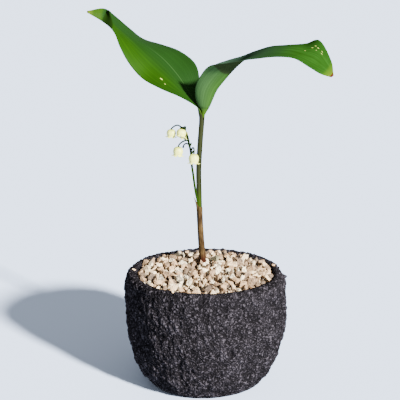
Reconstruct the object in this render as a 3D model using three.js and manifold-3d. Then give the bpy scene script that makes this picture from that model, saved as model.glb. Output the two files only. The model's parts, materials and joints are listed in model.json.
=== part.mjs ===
// Potted lily of the valley: one shoot with two leaves and a flower stem, in a hand-formed pot.
// Millimetres, +Z up. The origin is the centre of the pot's foot, on the surface it stands on.
// +X is to the right of the front view and +Y points to the back.

import * as THREE from 'three';
import { mergeVertices } from 'three/addons/utils/BufferGeometryUtils.js';
import Module from 'manifold-3d';

const wasm = await Module();
wasm.setup();

// ---- Driving dimensions ----

// The pot's outside from the foot to the top of the lip, as [radius, height].
const POT_OUTSIDE = [[31.5, 0], [36, 2.2], [39.2, 6], [42.4, 10], [44.8, 15], [46.4, 20], [47.8, 25],
  [49, 30], [49.8, 35], [50.3, 40], [50.6, 45], [50.6, 50], [50.5, 55], [50.2, 60], [49.8, 65.2]];
// The lip from its outer shoulder over the ridge to the inner edge.
const POT_LIP = [[48.9, 68.8], [46.6, 70.9], [44, 70.8]];
// The pot's inside from the top of the wall to the inner floor.
const POT_INSIDE = [[41.6, 68.6], [41, 64], [41, 45], [39.6, 30], [36, 18], [30, 10]];
const POT_FLOOR = 9;
const POT_SIDES = 72;
const LIP_WAVE = 0.7;
const LIP_TILT = 0.5;
const LIP_WAVES_ROUND = 2.6;
const RELIEF_DEPTH = 0.9;
const RELIEF_SPACING = 11;
const GRAIN_DEPTH = 0.35;
const GRAIN_SPACING = 3.1;
const WALL_RADIUS = 50;
const SMOOTH_FOOT = 6;
// Dents (negative) and lumps left by the potter's fingers.
const FINGER_MARKS = [
  { angle: -141, height: 43, depth: -1.6, width: 7, tall: 16 },
  { angle: -118, height: 22, depth: -1.1, width: 9, tall: 9 },
  { angle: -62, height: 36, depth: 0.9, width: 12, tall: 8 },
  { angle: 180, height: 42, depth: -1.3, width: 24, tall: 34 },
  { angle: 180, height: 60, depth: 0.9, width: 7, tall: 5 },
  { angle: 0, height: 66, depth: 0.8, width: 7, tall: 6 },
  { angle: 50, height: 30, depth: -1.2, width: 10, tall: 12 },
  { angle: 118, height: 46, depth: 1, width: 12, tall: 9 },
];
const DRAIN_HOLES = 3;
const DRAIN_RADIUS = 2.5;
const DRAIN_CIRCLE = 13;
const DRAIN_SIDES = 12;
const DRAIN_TURN = Math.PI / 6;

// What lies beside something else keeps this gap.
const GAP = 0.3;
// A plain hole round the leaning shoot is wider.
const SHOOT_CLEARANCE = 0.8;
// A cutting shape reaches this far past what it cuts.
const OVERRUN = 2;

// The gravel bed fills the mouth of the pot and rises to the middle.
const SOIL_TOP = 58;
const BED_RADIUS = 40.2;
const BED_EDGE = 68.4;
const BED_MIDDLE = 71.8;
const BED_RING_SHARES = [1, 0.7, 0.35];
// The fill ends this far below the bed's surface, under the stones.
const FILL_DEPTH = 1;
const FILL_SIDES = 36;
// Nothing of the heap stands above this height, nor further out than this much past the bed.
const HEAP_TOP = 82;
const HEAP_SPREAD = 0.35;
const STONE_COUNT = 200;
const STONE_SIZE = 4.7;
const STONE_SIZE_SHARES = [0.75, 1.25];
const STONE_SINK = 0.2;
const STONE_RISE = 1;
const STONE_MARGIN = 1.5;
// A stone's corners lie at this share of its size, pulled in or out and then stretched along each axis.
const STONE_HALF = 0.62;
const STONE_PULL = [0.85, 1.15];
const STONE_STRETCH = { x: [0.95, 1.25], y: [0.8, 1.1], z: [0.75, 1] };
const LARGE_PEBBLE = { x: 5.9, y: 11, z: 74, size: 6.6 };

// The axis of the shoot from its foot in the soil to the fork of the leaves.
const SHOOT_AXIS = [[-0.6, 10, 52], [-0.9, 10, 62], [-1.5, 10, 73], [-2.7, 10, 88.5], [-3.4, 10, 101],
  [-3.7, 10, 112], [-4, 10, 122], [-4.1, 10, 132.5], [-3.4, 10, 147], [-2.6, 10, 158], [-2.1, 10, 165]];

// The brown sheath is an oval tube round the foot of the shoot.
const SHEATH_FOOT = 53;
const SHEATH_MOUTH = 110.5;
const SHEATH_HALF_WIDTH = 1.95;
const SHEATH_HALF_DEPTH = 2.4;
const SHEATH_WALL = 0.45;
const SHEATH_FLOOR = 3;
const SHEATH_SIDES = 12;
const SHEATH_STEPS = 9;
const BORE_OVERRUN = 8;
const SHEATH_TIP = [[-4.9, 8.6, 106.5], [-5.3, 8.3, 110], [-6.1, 8, 113], [-7.1, 7.9, 115.6]];
const SHEATH_TIP_HALVES = [1.1, 1.1, 0.75, 0.3];
const SHEATH_TIP_ACROSS = [0.35, -1, 0];

// The petioles: the outer leaf's is rolled into a tube round the inner leaf's.
const PETIOLE_FOOT = 57;
const PETIOLE_SHIFT = 0.45;
const ROLL_RADIUS = 1;
const ROLL_KEEL_ANGLE = 155;
const ROLL_HALF_TURN = 150;
const ROLL_TOP = 162;
const ROLL_STEP = 15;
const PETIOLE_THICKNESS = 0.5;
const INNER_PETIOLE_RADIUS = 0.48;
const INNER_PETIOLE_SIDES = 6;
const INNER_PETIOLE_STEPS = 12;
const SHEET_CHANGE = 0.08;

// Each leaf blade passes through cross-sections [near margin, midrib, far margin]. "Near" is the front.
const OUTER_BLADE = [
  [[-0.9, 8.7, 167.5], [-3.4, 10.8, 167.5], [-0.8, 11.9, 167.5]],
  [[-5.6, 7.5, 172], [-5.4, 11.6, 172.8], [-2, 14, 174]],
  [[-15.4, 6.9, 178.2], [-10.2, 15.5, 179.4], [-3, 18.6, 182.4]],
  [[-27.6, 10, 183.3], [-16.6, 21, 188.5], [-5.9, 25.8, 193.8]],
  [[-38, 15.5, 188.6], [-25.1, 27, 197.2], [-14.9, 35, 200.6]],
  [[-46, 18.5, 197.3], [-34.3, 32, 203.8], [-27.2, 42, 204.4]],
  [[-51.6, 22, 206.3], [-42.1, 36, 208.4], [-38.6, 44.8, 208]],
  [[-54.6, 26.5, 212.6], [-49.8, 37.8, 213.2], [-47.4, 44.8, 214.2]],
  [[-58.4, 30.8, 216.9], [-56.8, 37.4, 218.8], [-56.8, 42.4, 222.3]],
  [[-64, 32.9, 220.9], [-63.4, 36, 224.2], [-62.6, 39.4, 227]],
  [[-72.5, 31.4, 225.5], [-72.6, 32, 225.9], [-72.7, 32.6, 226.3]],
];
const INNER_BLADE = [
  [[-2.4, 10.2, 163.5], [-2.1, 10.5, 163.5], [-2.4, 10.8, 163.5]],
  [[-2, 9.6, 168], [-0.9, 10.3, 168], [-1.9, 11, 168]],
  [[-2.8, 8.9, 170.7], [-0.1, 9.5, 170.2], [-2.2, 11.6, 170.9]],
  [[-4.6, 8.4, 173], [1, 8.8, 172.2], [-2.8, 12.4, 173.6]],
  [[-6.1, 7.5, 178.2], [3.2, 7.8, 176.4], [-2.9, 14.2, 179.4]],
  [[-5.8, 5.4, 185], [6.6, 6, 182.4], [-1.6, 16, 186.4]],
  [[-2.1, 0.2, 193.2], [10.6, 4.6, 187.8], [3.6, 17.6, 194.4]],
  [[2.4, -5.7, 198.4], [14.6, 2.6, 193.2], [13, 18, 198.8]],
  [[9.4, -12.4, 200.9], [19.2, 0, 198.4], [22.6, 15.8, 202]],
  [[18.5, -18, 203.3], [25, -3, 203], [29.9, 12.8, 205.1]],
  [[28.8, -21, 205.2], [33.8, -6, 206], [38.5, 9.3, 208.4]],
  [[39.5, -23.4, 206.5], [44, -9, 207.3], [48.1, 5.4, 209.3]],
  [[49.7, -24.3, 205.8], [53.6, -12, 205.9], [58.7, 1.2, 210.8]],
  [[57.7, -24.6, 201.3], [62.1, -15, 202], [66, -5.6, 213.6]],
  [[64.9, -23.6, 197], [68.2, -18, 198.2], [72.2, -12, 203]],
  [[71.6, -20.6, 194.4], [72.4, -20, 194.8], [73.1, -19.4, 195.4]],
];
const BLADE_THICKNESS = 0.7;
const BLADE_ACROSS = 8;
const ROWS_PER_STATION = 1.8;

// The flower stem leaves the sheath in front of the petioles and leans to the left.
const SCAPE_SHIFT = { x: -0.35, y: -1.3 };
const SCAPE_HEIGHTS = [PETIOLE_FOOT, 70, 82, 94, 106];
const SCAPE_FREE = [[-4.3, 8.5, 111.5], [-5.3, 7.9, 117.8], [-6, 7.6, 123.1], [-6.8, 7.3, 129.3],
  [-7.8, 7, 136], [-8.6, 6.5, 143.4], [-9.7, 6.2, 148.3], [-10.9, 6, 154], [-12.2, 5.8, 157.2],
  [-13.3, 5.6, 158.8], [-14.5, 5.5, 159.7]];
const SCAPE_RADIUS = 0.42;
const SCAPE_TIP_RADIUS = 0.34;
const SCAPE_SIDES = 6;
const SCAPE_STEPS = 30;
const PEDICEL_RADIUS = 0.34;
const PEDICEL_SIDES = 5;
const PEDICEL_STEPS = 5;
const PEDICELS = {
  bell_1: [[-14.1, 5.5, 159.4], [-16.4, 5, 161], [-18.5, 4.5, 160.7], [-20.4, 4.1, 159.2]],
  bell_2: [[-13.1, 5.6, 158.4], [-13.3, 4, 159.9], [-13.7, 2.4, 160.2], [-13.9, 1.9, 159.8]],
  bell_3: [[-13, 5.7, 158.5], [-12.5, 7.4, 159.8], [-12.1, 8.8, 158.2], [-12.3, 9.1, 156.8]],
  bell_4: [[-10.4, 6.1, 151.6], [-12.3, 5, 151.6], [-14.4, 4, 150.8], [-15.8, 3.3, 149.6],
    [-16.2, 3.1, 148.7]],
  bell_5: [[-8.8, 6.4, 144.6], [-8, 5.2, 147], [-7.1, 3.8, 147.2], [-6.9, 2.9, 145.6], [-7, 2.7, 144.5]],
};
const BARE_PEDICEL = [[-9.9, 6.2, 148.9], [-11.6, 7.5, 149.3], [-13, 9, 148.2], [-13.6, 10, 146.4]];
const BRACTS = [
  { base: [-14.3, 5.5, 159.5], tip: [-15.7, 5.6, 158.6] },
  { base: [-13, 5.6, 158.3], tip: [-11.6, 5.9, 160.2] },
  { base: [-10.6, 6, 152.4], tip: [-11.6, 5.2, 154.2] },
  { base: [-9.6, 6.2, 147.8], tip: [-8.4, 6.2, 150.2] },
  { base: [-8.6, 6.5, 143.2], tip: [-7.2, 7.4, 145] },
];
const BRACT_HALVES = [0.55, 0.55, 0.2];
const BRACT_ACROSS = [0, 1, 0.2];
// The sheath's tip and the bracts are small flat blades of this thickness.
const SMALL_BLADE_THICKNESS = 0.6;

// Each bell hangs from its pedicel; the axis points from the crown to the mouth.
const BELLS = {
  bell_1: { length: 4.9, radius: 2.85, axis: [-0.06, 0, -1] },
  bell_2: { length: 4.9, radius: 2.95, axis: [-0.22, -0.3, -1] },
  bell_3: { length: 4.6, radius: 2.3, axis: [-0.2, 0.15, -1] },
  bell_4: { length: 5.8, radius: 3.05, axis: [-0.1, 0, -1] },
  bell_5: { length: 6.2, radius: 3.1, axis: [-0.04, -0.14, -1] },
};
// The wall of a bell as [radius, height below the crown], in shares of the radius and the length.
const BELL_OUTSIDE = [[0.42, 0.03], [0.84, 0.22], [0.98, 0.52], [0.86, 0.82]];
const BELL_LOBE = { radius: 1.02, drop: 0.93 };
const BELL_NOTCH = { radius: 0.86, drop: 0.86 };
const BELL_LOBES = 6;
const BELL_SIDES_PER_LOBE = 3;
const BELL_WALL = 0.6;
// The inner wall sinks and the rim's corner is cut by these shares of the wall.
const BELL_INNER_SINK = 0.3;
const BELL_RIM_CUT = { inset: 0.4, lower: 0.7 };
const BELL_INSIDE_TOP = { radius: 0.22, drop: 0.05 };
const BELL_GAP = 0.15;

// The rhizome lies in the soil; the shoot rises from its tip.
const RHIZOME = [[-0.4, 10, 47.5], [4, 6, 43], [12, 2, 41], [20, -4, 42], [26, -12, 43]];
const RHIZOME_RADII = [2.3, 2.8, 2.5, 2.7, 1.6];
const RHIZOME_SIDES = 8;
const RHIZOME_STEPS = 8;
const CROWN = [[-0.5, 10, 44], [-0.6, 10, 52.7]];
const CROWN_RADII = [2.4, 1.7];
const CROWN_STEPS = 2;
const ROOTS = [
  [[2, 8, 43], [-6, 14, 36], [-16, 18, 28], [-24, 18, 18]],
  [[0, 8, 43], [-6, 0, 36], [-12, -10, 28], [-14, -20, 18]],
  [[8, 4, 41], [10, 14, 34], [14, 22, 26], [14, 26, 16]],
  [[14, 1, 40], [10, -6, 32], [6, -16, 26], [4, -24, 18]],
  [[20, -4, 41], [26, 4, 34], [30, 10, 28], [28, 14, 20]],
  [[12, 2, 40], [16, -4, 30], [22, -12, 22], [24, -16, 17]],
];
const ROOT_RADII = [1.1, 0.9, 0.7, 0.45];
const ROOT_SIDES = 5;
const ROOT_STEPS = 4;

const SEED = 20260;

// ---- Materials ----

const paint = (color, roughness) => new THREE.MeshStandardMaterial({ color, roughness, metalness: 0 });
const STONEWARE = paint(0x3a383b, 0.9);
const SOIL = paint(0x3c2c20, 1);
const GRAVEL = paint(0xcdb5a2, 0.85);
const RHIZOME_SKIN = paint(0xb79f7a, 0.8);
const SHEATH_SKIN = paint(0x8a5a34, 0.6);
const OUTER_LEAF = paint(0x3f7f1e, 0.45);
const INNER_LEAF = paint(0x4c8a35, 0.45);
const STEM_GREEN = paint(0x4d6b2c, 0.5);
const BELL_WHITE = paint(0xf1ecd2, 0.5);

// ---- Small tools ----

const vector = ([x, y, z]) => new THREE.Vector3(x, y, z);
const curveThrough = (points) => new THREE.CatmullRomCurve3(points.map(vector), false, 'catmullrom', 0.5);
const radians = THREE.MathUtils.degToRad;
const mix = THREE.MathUtils.lerp;

/** Repeatable random numbers from 0 to 1, by the usual linear congruential rule. */
function randomFrom(seed) {
  const [factor, step, range] = [1664525, 1013904223, 2 ** 32];
  let state = seed;
  return () => {
    state = (state * factor + step) % range;
    return state / range;
  };
}

/** A repeatable value from -1 to 1 for a whole-numbered place. */
function latticeValue(i, j, k) {
  const mixed = Math.sin(i * 127.1 + j * 311.7 + k * 74.7) * 43758.5453;
  return 2 * (mixed - Math.floor(mixed)) - 1;
}

/** Smooth relief from -1 to 1 through space. */
function relief(x, y, z) {
  const [i, j, k] = [Math.floor(x), Math.floor(y), Math.floor(z)];
  const ease = (t) => t * t * (3 - 2 * t);
  const [u, v, w] = [ease(x - i), ease(y - j), ease(z - k)];
  const edge = (b, c) => mix(latticeValue(i, j + b, k + c), latticeValue(i + 1, j + b, k + c), u);
  return mix(mix(edge(0, 0), edge(1, 0), v), mix(edge(0, 1), edge(1, 1), v), w);
}

/** A geometry reduced to merged positions and an index. */
function merged(geometry) {
  const plain = new THREE.BufferGeometry();
  plain.setAttribute('position', geometry.getAttribute('position').clone());
  if (geometry.index) plain.setIndex(geometry.index.clone());
  return mergeVertices(plain, 1e-4);
}

/** A closed geometry as a solid that can be joined and cut. */
function solid(geometry) {
  const closed = merged(geometry);
  const triVerts = new Uint32Array(closed.index.array);
  const vertProperties = new Float32Array(closed.getAttribute('position').array);
  return new wasm.Manifold(new wasm.Mesh({ numProp: 3, vertProperties, triVerts }));
}

/** A solid as a geometry again. */
function geometryOf(body) {
  const mesh = body.getMesh();
  const geometry = new THREE.BufferGeometry();
  geometry.setAttribute('position', new THREE.BufferAttribute(new Float32Array(mesh.vertProperties), 3));
  geometry.setIndex(new THREE.BufferAttribute(new Uint32Array(mesh.triVerts), 1));
  return geometry;
}

/** Many solids joined in pairs, then the pairs in pairs, into one. */
function fuse(bodies) {
  let level = bodies;
  while (level.length > 1) {
    const next = [];
    for (let i = 0; i < level.length; i += 2) {
      next.push(i + 1 < level.length ? level[i].add(level[i + 1]) : level[i]);
    }
    level = next;
  }
  return level[0];
}

/** The largest connected body of a solid, without the scraps that a cut leaves loose. */
function largestBody(body) {
  return body.decompose().reduce((best, next) => (next.numTri() > best.numTri() ? next : best));
}

/** The skin over closed rings of equally many points, capped at both ends by flat fans. */
function loft(rings) {
  const count = rings[0].length;
  const points = rings.flat();
  const index = [];
  for (let row = 0; row + 1 < rings.length; row += 1) {
    for (let i = 0; i < count; i += 1) {
      const next = (i + 1) % count;
      const [a, b] = [row * count + i, row * count + next];
      index.push(a, b, b + count, a, b + count, a + count);
    }
  }
  const last = (rings.length - 1) * count;
  for (let i = 1; i + 1 < count; i += 1) {
    index.push(0, i + 1, i, last, last + i, last + i + 1);
  }
  return indexed(points, index);
}

/** A geometry from points and the corners of its triangles. */
function indexed(points, index) {
  const geometry = new THREE.BufferGeometry().setFromPoints(points);
  geometry.setIndex(index);
  return geometry;
}

/** A round rod along a curve, with a radius for each share of its length. */
function rod(curve, steps, sides, radiusAt) {
  const frames = curve.computeFrenetFrames(steps, false);
  const rings = [];
  for (let row = 0; row <= steps; row += 1) {
    const centre = curve.getPointAt(row / steps);
    const radius = radiusAt(row / steps);
    rings.push(Array.from({ length: sides }, (_, i) => {
      const angle = (2 * Math.PI * i) / sides;
      return centre.clone()
        .addScaledVector(frames.normals[row], radius * Math.cos(angle))
        .addScaledVector(frames.binormals[row], radius * Math.sin(angle));
    }));
  }
  return loft(rings);
}

/** A rod through hand-set points, with a radius at each of them. */
function taperedRod(points, radii, sides, steps) {
  const radiusAt = (share) => {
    const place = share * (radii.length - 1);
    const before = Math.min(Math.floor(place), radii.length - 2);
    return mix(radii[before], radii[before + 1], place - before);
  };
  return rod(curveThrough(points), steps, sides, radiusAt);
}

const shootCurve = curveThrough(SHOOT_AXIS);

/** The shoot's axis at a height. */
function shootAt(height) {
  let [low, high] = [0, 1];
  for (let pass = 0; pass < 24; pass += 1) {
    const middle = (low + high) / 2;
    if (shootCurve.getPoint(middle).z < height) low = middle;
    else high = middle;
  }
  return shootCurve.getPoint((low + high) / 2);
}

// ---- Pot ----

/** How far the potter's hands moved the wall out or in at a place on the outside. */
function wallShift(angle, height) {
  const place = [Math.cos(angle) * WALL_RADIUS, Math.sin(angle) * WALL_RADIUS, height];
  const broad = RELIEF_DEPTH * relief(...place.map((value) => value / RELIEF_SPACING));
  const grain = GRAIN_DEPTH * relief(...place.map((value) => value / GRAIN_SPACING));
  const marks = FINGER_MARKS.reduce((sum, mark) => {
    const turn = Math.atan2(Math.sin(angle - radians(mark.angle)), Math.cos(angle - radians(mark.angle)));
    const [across, along] = [turn * WALL_RADIUS / mark.width, (height - mark.height) / mark.tall];
    return sum + mark.depth * Math.exp(-across * across - along * along);
  }, 0);
  return broad + grain + marks;
}

/** The pot's body before the drain holes are cut. */
function potBody() {
  const profile = [[0, 0], ...POT_OUTSIDE, ...POT_LIP, ...POT_INSIDE, [0, POT_FLOOR]];
  const turned = merged(new THREE.LatheGeometry(profile.map(([r, z]) => new THREE.Vector2(r, z)), POT_SIDES));
  turned.rotateX(Math.PI / 2);
  const place = turned.getAttribute('position');
  const [footRadius, wallTop] = [POT_OUTSIDE[0][0], POT_OUTSIDE.at(-1)[1]];
  for (let i = 0; i < place.count; i += 1) {
    const [x, y, z] = [place.getX(i), place.getY(i), place.getZ(i)];
    const radius = Math.hypot(x, y);
    const angle = Math.atan2(y, x);
    const onWall = radius > POT_INSIDE[0][0] + GAP || (z < POT_FLOOR && radius > footRadius);
    if (onWall && z > 0) {
      const stretch = 1 + (Math.min(1, z / SMOOTH_FOOT) * wallShift(angle, z)) / radius;
      const [across, along] = [LIP_WAVES_ROUND * Math.cos(angle), LIP_WAVES_ROUND * Math.sin(angle)];
      const wave = LIP_WAVE * relief(across, along, LIP_WAVE) - LIP_TILT * Math.sin(angle);
      const lift = z > wallTop ? wave : 0;
      place.setXYZ(i, x * stretch, y * stretch, z + lift);
    }
  }
  return turned;
}

function pot() {
  const holes = Array.from({ length: DRAIN_HOLES }, (_, i) => {
    const angle = (2 * Math.PI * i) / DRAIN_HOLES + DRAIN_TURN;
    const length = POT_FLOOR + 2 * OVERRUN;
    const drill = new THREE.CylinderGeometry(DRAIN_RADIUS, DRAIN_RADIUS, length, DRAIN_SIDES);
    drill.rotateX(Math.PI / 2);
    drill.translate(DRAIN_CIRCLE * Math.cos(angle), DRAIN_CIRCLE * Math.sin(angle), POT_FLOOR / 2);
    return solid(drill);
  });
  return geometryOf(holes.reduce((body, hole) => body.subtract(hole), solid(potBody())));
}

// ---- Soil, rhizome and roots ----

/** A solid turned round the pot's axis from a profile of [radius, height] that starts and ends on it. */
function turned(profile, sides) {
  const geometry = new THREE.LatheGeometry(profile.map(([r, z]) => new THREE.Vector2(r, z)), sides);
  geometry.rotateX(Math.PI / 2);
  return solid(geometry);
}

/** The rhizome, its crown and its roots, thickened all round by a margin. */
function rhizomeBody(margin) {
  const thicker = (radii) => radii.map((radius) => radius + margin);
  const runner = solid(taperedRod(RHIZOME, thicker(RHIZOME_RADII), RHIZOME_SIDES, RHIZOME_STEPS));
  const crown = solid(taperedRod(CROWN, thicker(CROWN_RADII), RHIZOME_SIDES, CROWN_STEPS));
  const roots = ROOTS.map((points) => solid(taperedRod(points, thicker(ROOT_RADII), ROOT_SIDES, ROOT_STEPS)));
  return fuse([runner, crown, ...roots]);
}

/** A plain round hole for the shoot, from one height to another. */
function shootHole(bottom, top) {
  const middle = shootAt((bottom + top) / 2);
  const hole = new THREE.CylinderGeometry(1, 1, top - bottom, SHEATH_SIDES);
  hole.rotateX(Math.PI / 2);
  hole.scale(SHEATH_HALF_WIDTH + SHOOT_CLEARANCE, SHEATH_HALF_DEPTH + SHOOT_CLEARANCE, 1);
  hole.translate(middle.x, middle.y, (bottom + top) / 2);
  return solid(hole);
}

function soil() {
  const wall = POT_INSIDE.slice(1).reverse().map(([radius, height]) => [radius - GAP, height]);
  const below = wall.filter(([, height]) => height < SOIL_TOP);
  const rim = [POT_INSIDE[1][0] - GAP, SOIL_TOP];
  const fill = turned([[0, POT_FLOOR + GAP], ...below, rim, [0, SOIL_TOP]], FILL_SIDES);
  const hole = shootHole(SHEATH_FOOT - OVERRUN, SOIL_TOP + OVERRUN);
  return geometryOf(fill.subtract(rhizomeBody(GAP)).subtract(hole));
}

// ---- Gravel ----

/** The height of the bed's own surface at a distance from the middle. */
function bedHeight(radius) {
  return mix(BED_MIDDLE, BED_EDGE, (radius / BED_RADIUS) ** 2);
}

/** One angular stone: an octahedron with its corners pulled in and out. */
function stone(random, size) {
  const between = ([low, high]) => mix(low, high, random());
  const geometry = merged(new THREE.OctahedronGeometry(size * STONE_HALF));
  const place = geometry.getAttribute('position');
  for (let i = 0; i < place.count; i += 1) {
    const pull = between(STONE_PULL);
    place.setXYZ(i, place.getX(i) * pull, place.getY(i) * pull, place.getZ(i) * pull);
  }
  geometry.scale(between(STONE_STRETCH.x), between(STONE_STRETCH.y), between(STONE_STRETCH.z));
  geometry.rotateX(random() * Math.PI);
  geometry.rotateY(random() * Math.PI);
  geometry.rotateZ(random() * Math.PI);
  return geometry;
}

function gravel() {
  const random = randomFrom(SEED);
  const bottom = SOIL_TOP + GAP;
  const radii = BED_RING_SHARES.map((share) => share * BED_RADIUS);
  const top = radii.map((radius) => [radius, bedHeight(radius) - FILL_DEPTH]);
  const bed = turned([[0, bottom], [BED_RADIUS, bottom], ...top, [0, BED_MIDDLE - FILL_DEPTH]], FILL_SIDES);
  const goldenAngle = Math.PI * (3 - Math.sqrt(5));
  const stones = Array.from({ length: STONE_COUNT }, (_, i) => {
    const size = STONE_SIZE * mix(...STONE_SIZE_SHARES, random());
    const radius = (BED_RADIUS - STONE_MARGIN) * Math.sqrt((i + 0.5) / STONE_COUNT);
    const [x, y] = [radius * Math.cos(i * goldenAngle), radius * Math.sin(i * goldenAngle)];
    const body = stone(random, size);
    body.translate(x, y, bedHeight(radius) - STONE_SINK + STONE_RISE * random());
    return solid(body);
  });
  const pebble = stone(random, LARGE_PEBBLE.size);
  pebble.translate(LARGE_PEBBLE.x, LARGE_PEBBLE.y, LARGE_PEBBLE.z);
  const heap = fuse([bed, ...stones, solid(pebble)]);
  const wall = [[0, bottom], [BED_RADIUS, bottom], [BED_RADIUS + HEAP_SPREAD, HEAP_TOP], [0, HEAP_TOP]];
  const trimmed = heap.intersect(turned(wall, FILL_SIDES));
  return geometryOf(largestBody(trimmed.subtract(shootHole(bottom - OVERRUN, HEAP_TOP + OVERRUN))));
}

// ---- Sheath ----

/** An oval rod upright along the shoot's axis, its rings lying level. */
function uprightOval(bottom, top, halfWidth, halfDepth, steps) {
  const rings = Array.from({ length: steps + 1 }, (_, row) => {
    const centre = shootAt(mix(bottom, top, row / steps));
    return Array.from({ length: SHEATH_SIDES }, (_, i) => {
      const angle = (2 * Math.PI * i) / SHEATH_SIDES;
      const [across, back] = [halfWidth * Math.cos(angle), halfDepth * Math.sin(angle)];
      return new THREE.Vector3(centre.x + across, centre.y + back, centre.z);
    });
  });
  return solid(loft(rings));
}

/** A small flat pointed blade along hand-set points, for the sheath's free tip and the bracts. */
function smallBlade(points, halves, across) {
  const curve = curveThrough(points);
  const side = vector(across).normalize();
  const steps = 2 * (points.length - 1);
  const rings = Array.from({ length: steps + 1 }, (_, row) => {
    const share = row / steps;
    const place = share * (halves.length - 1);
    const before = Math.min(Math.floor(place), halves.length - 2);
    const half = mix(halves[before], halves[before + 1], place - before);
    const centre = curve.getPoint(share);
    const normal = curve.getTangent(share).cross(side).normalize().multiplyScalar(SMALL_BLADE_THICKNESS / 2);
    const corner = (s, n) => centre.clone().addScaledVector(side, s * half).addScaledVector(normal, n);
    return [corner(-1, -1), corner(1, -1), corner(1, 1), corner(-1, 1)];
  });
  return solid(loft(rings));
}

function sheath() {
  const outside = uprightOval(SHEATH_FOOT, SHEATH_MOUTH, SHEATH_HALF_WIDTH, SHEATH_HALF_DEPTH, SHEATH_STEPS);
  const [width, depth] = [SHEATH_HALF_WIDTH - SHEATH_WALL, SHEATH_HALF_DEPTH - SHEATH_WALL];
  const [foot, top] = [SHEATH_FOOT + SHEATH_FLOOR, SHEATH_MOUTH + BORE_OVERRUN];
  const bore = uprightOval(foot, top, width, depth, SHEATH_STEPS);
  const tip = smallBlade(SHEATH_TIP, SHEATH_TIP_HALVES, SHEATH_TIP_ACROSS);
  return geometryOf(outside.add(tip).subtract(bore));
}

// ---- Leaves ----

/** The points of a round arc from the near margin through the midrib to the far margin. */
function crossSection(near, rib, far) {
  const [a, b] = [near.clone().sub(rib), far.clone().sub(rib)];
  const axis = a.clone().cross(b);
  const toCentre = b.clone().multiplyScalar(a.lengthSq()).sub(a.clone().multiplyScalar(b.lengthSq()))
    .cross(axis).divideScalar(2 * axis.lengthSq());
  const radius = toCentre.length();
  const up = toCentre.clone().divideScalar(-radius);
  const side = b.clone().addScaledVector(up, -b.dot(up)).normalize();
  const angleOf = (arm) => {
    const spoke = arm.clone().sub(toCentre);
    return Math.atan2(spoke.dot(side), spoke.dot(up));
  };
  const [start, end] = [angleOf(a), angleOf(b)];
  const nearAngle = start > 0 ? start - 2 * Math.PI : start;
  const farAngle = end < 0 ? end + 2 * Math.PI : end;
  const half = BLADE_ACROSS / 2;
  return Array.from({ length: BLADE_ACROSS + 1 }, (_, i) => {
    const angle = i < half ? nearAngle * (1 - i / half) : farAngle * (i / half - 1);
    return rib.clone().add(toCentre)
      .addScaledVector(up, radius * Math.cos(angle))
      .addScaledVector(side, radius * Math.sin(angle));
  });
}

/** A leaf of even thickness over rows of cross-sections. */
function leafSkin(stations, rows, thicknessAt) {
  const curves = [0, 1, 2].map((k) => curveThrough(stations.map((station) => station[k])));
  const middle = Array.from({ length: rows + 1 }, (_, row) => {
    const [near, rib, far] = curves.map((curve) => curve.getPoint(row / rows));
    return crossSection(near, rib, far);
  });
  const rings = middle.map((line, row) => {
    const [before, after] = [middle[Math.max(row - 1, 0)], middle[Math.min(row + 1, rows)]];
    const half = thicknessAt(row / rows) / 2;
    const lift = line.map((_, i) => {
      const across = line[Math.min(i + 1, BLADE_ACROSS)].clone().sub(line[Math.max(i - 1, 0)]);
      return across.cross(after[i].clone().sub(before[i])).normalize().multiplyScalar(half);
    });
    const top = line.map((point, i) => point.clone().add(lift[i]));
    const under = line.map((point, i) => point.clone().sub(lift[i]));
    return [...top, ...under.reverse()];
  });
  return solid(loft(rings));
}

/** A cross-section rolled almost shut round the shoot's axis. */
function rolledSection(height) {
  const axis = shootAt(height);
  return [-1, 0, 1].map((side) => {
    const angle = radians(ROLL_KEEL_ANGLE - side * ROLL_HALF_TURN);
    const [across, back] = [ROLL_RADIUS * Math.cos(angle), ROLL_RADIUS * Math.sin(angle)];
    return [axis.x + across, axis.y + PETIOLE_SHIFT + back, height];
  });
}

function outerLeaf() {
  const rolls = Math.floor((ROLL_TOP - PETIOLE_FOOT) / ROLL_STEP) + 1;
  const rolled = Array.from({ length: rolls }, (_, i) => rolledSection(PETIOLE_FOOT + i * ROLL_STEP));
  const stations = [...rolled, ...OUTER_BLADE];
  const opens = rolled.length / stations.length;
  const thicknessAt = (share) => (
    mix(PETIOLE_THICKNESS, BLADE_THICKNESS, THREE.MathUtils.smoothstep(share, opens, opens + SHEET_CHANGE))
  );
  return geometryOf(leafSkin(stations, Math.round(stations.length * ROWS_PER_STATION), thicknessAt));
}

function innerLeaf() {
  const top = SHOOT_AXIS.at(-1)[2];
  const points = Array.from({ length: INNER_PETIOLE_STEPS + 1 }, (_, i) => {
    const axis = shootAt(mix(PETIOLE_FOOT, top, i / INNER_PETIOLE_STEPS));
    return [axis.x, axis.y + PETIOLE_SHIFT, axis.z];
  });
  const radiusAt = () => INNER_PETIOLE_RADIUS;
  const petiole = solid(rod(curveThrough(points), INNER_PETIOLE_STEPS, INNER_PETIOLE_SIDES, radiusAt));
  const rows = Math.round(INNER_BLADE.length * ROWS_PER_STATION);
  return geometryOf(petiole.add(leafSkin(INNER_BLADE, rows, () => BLADE_THICKNESS)));
}

// ---- Flower stem ----

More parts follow.
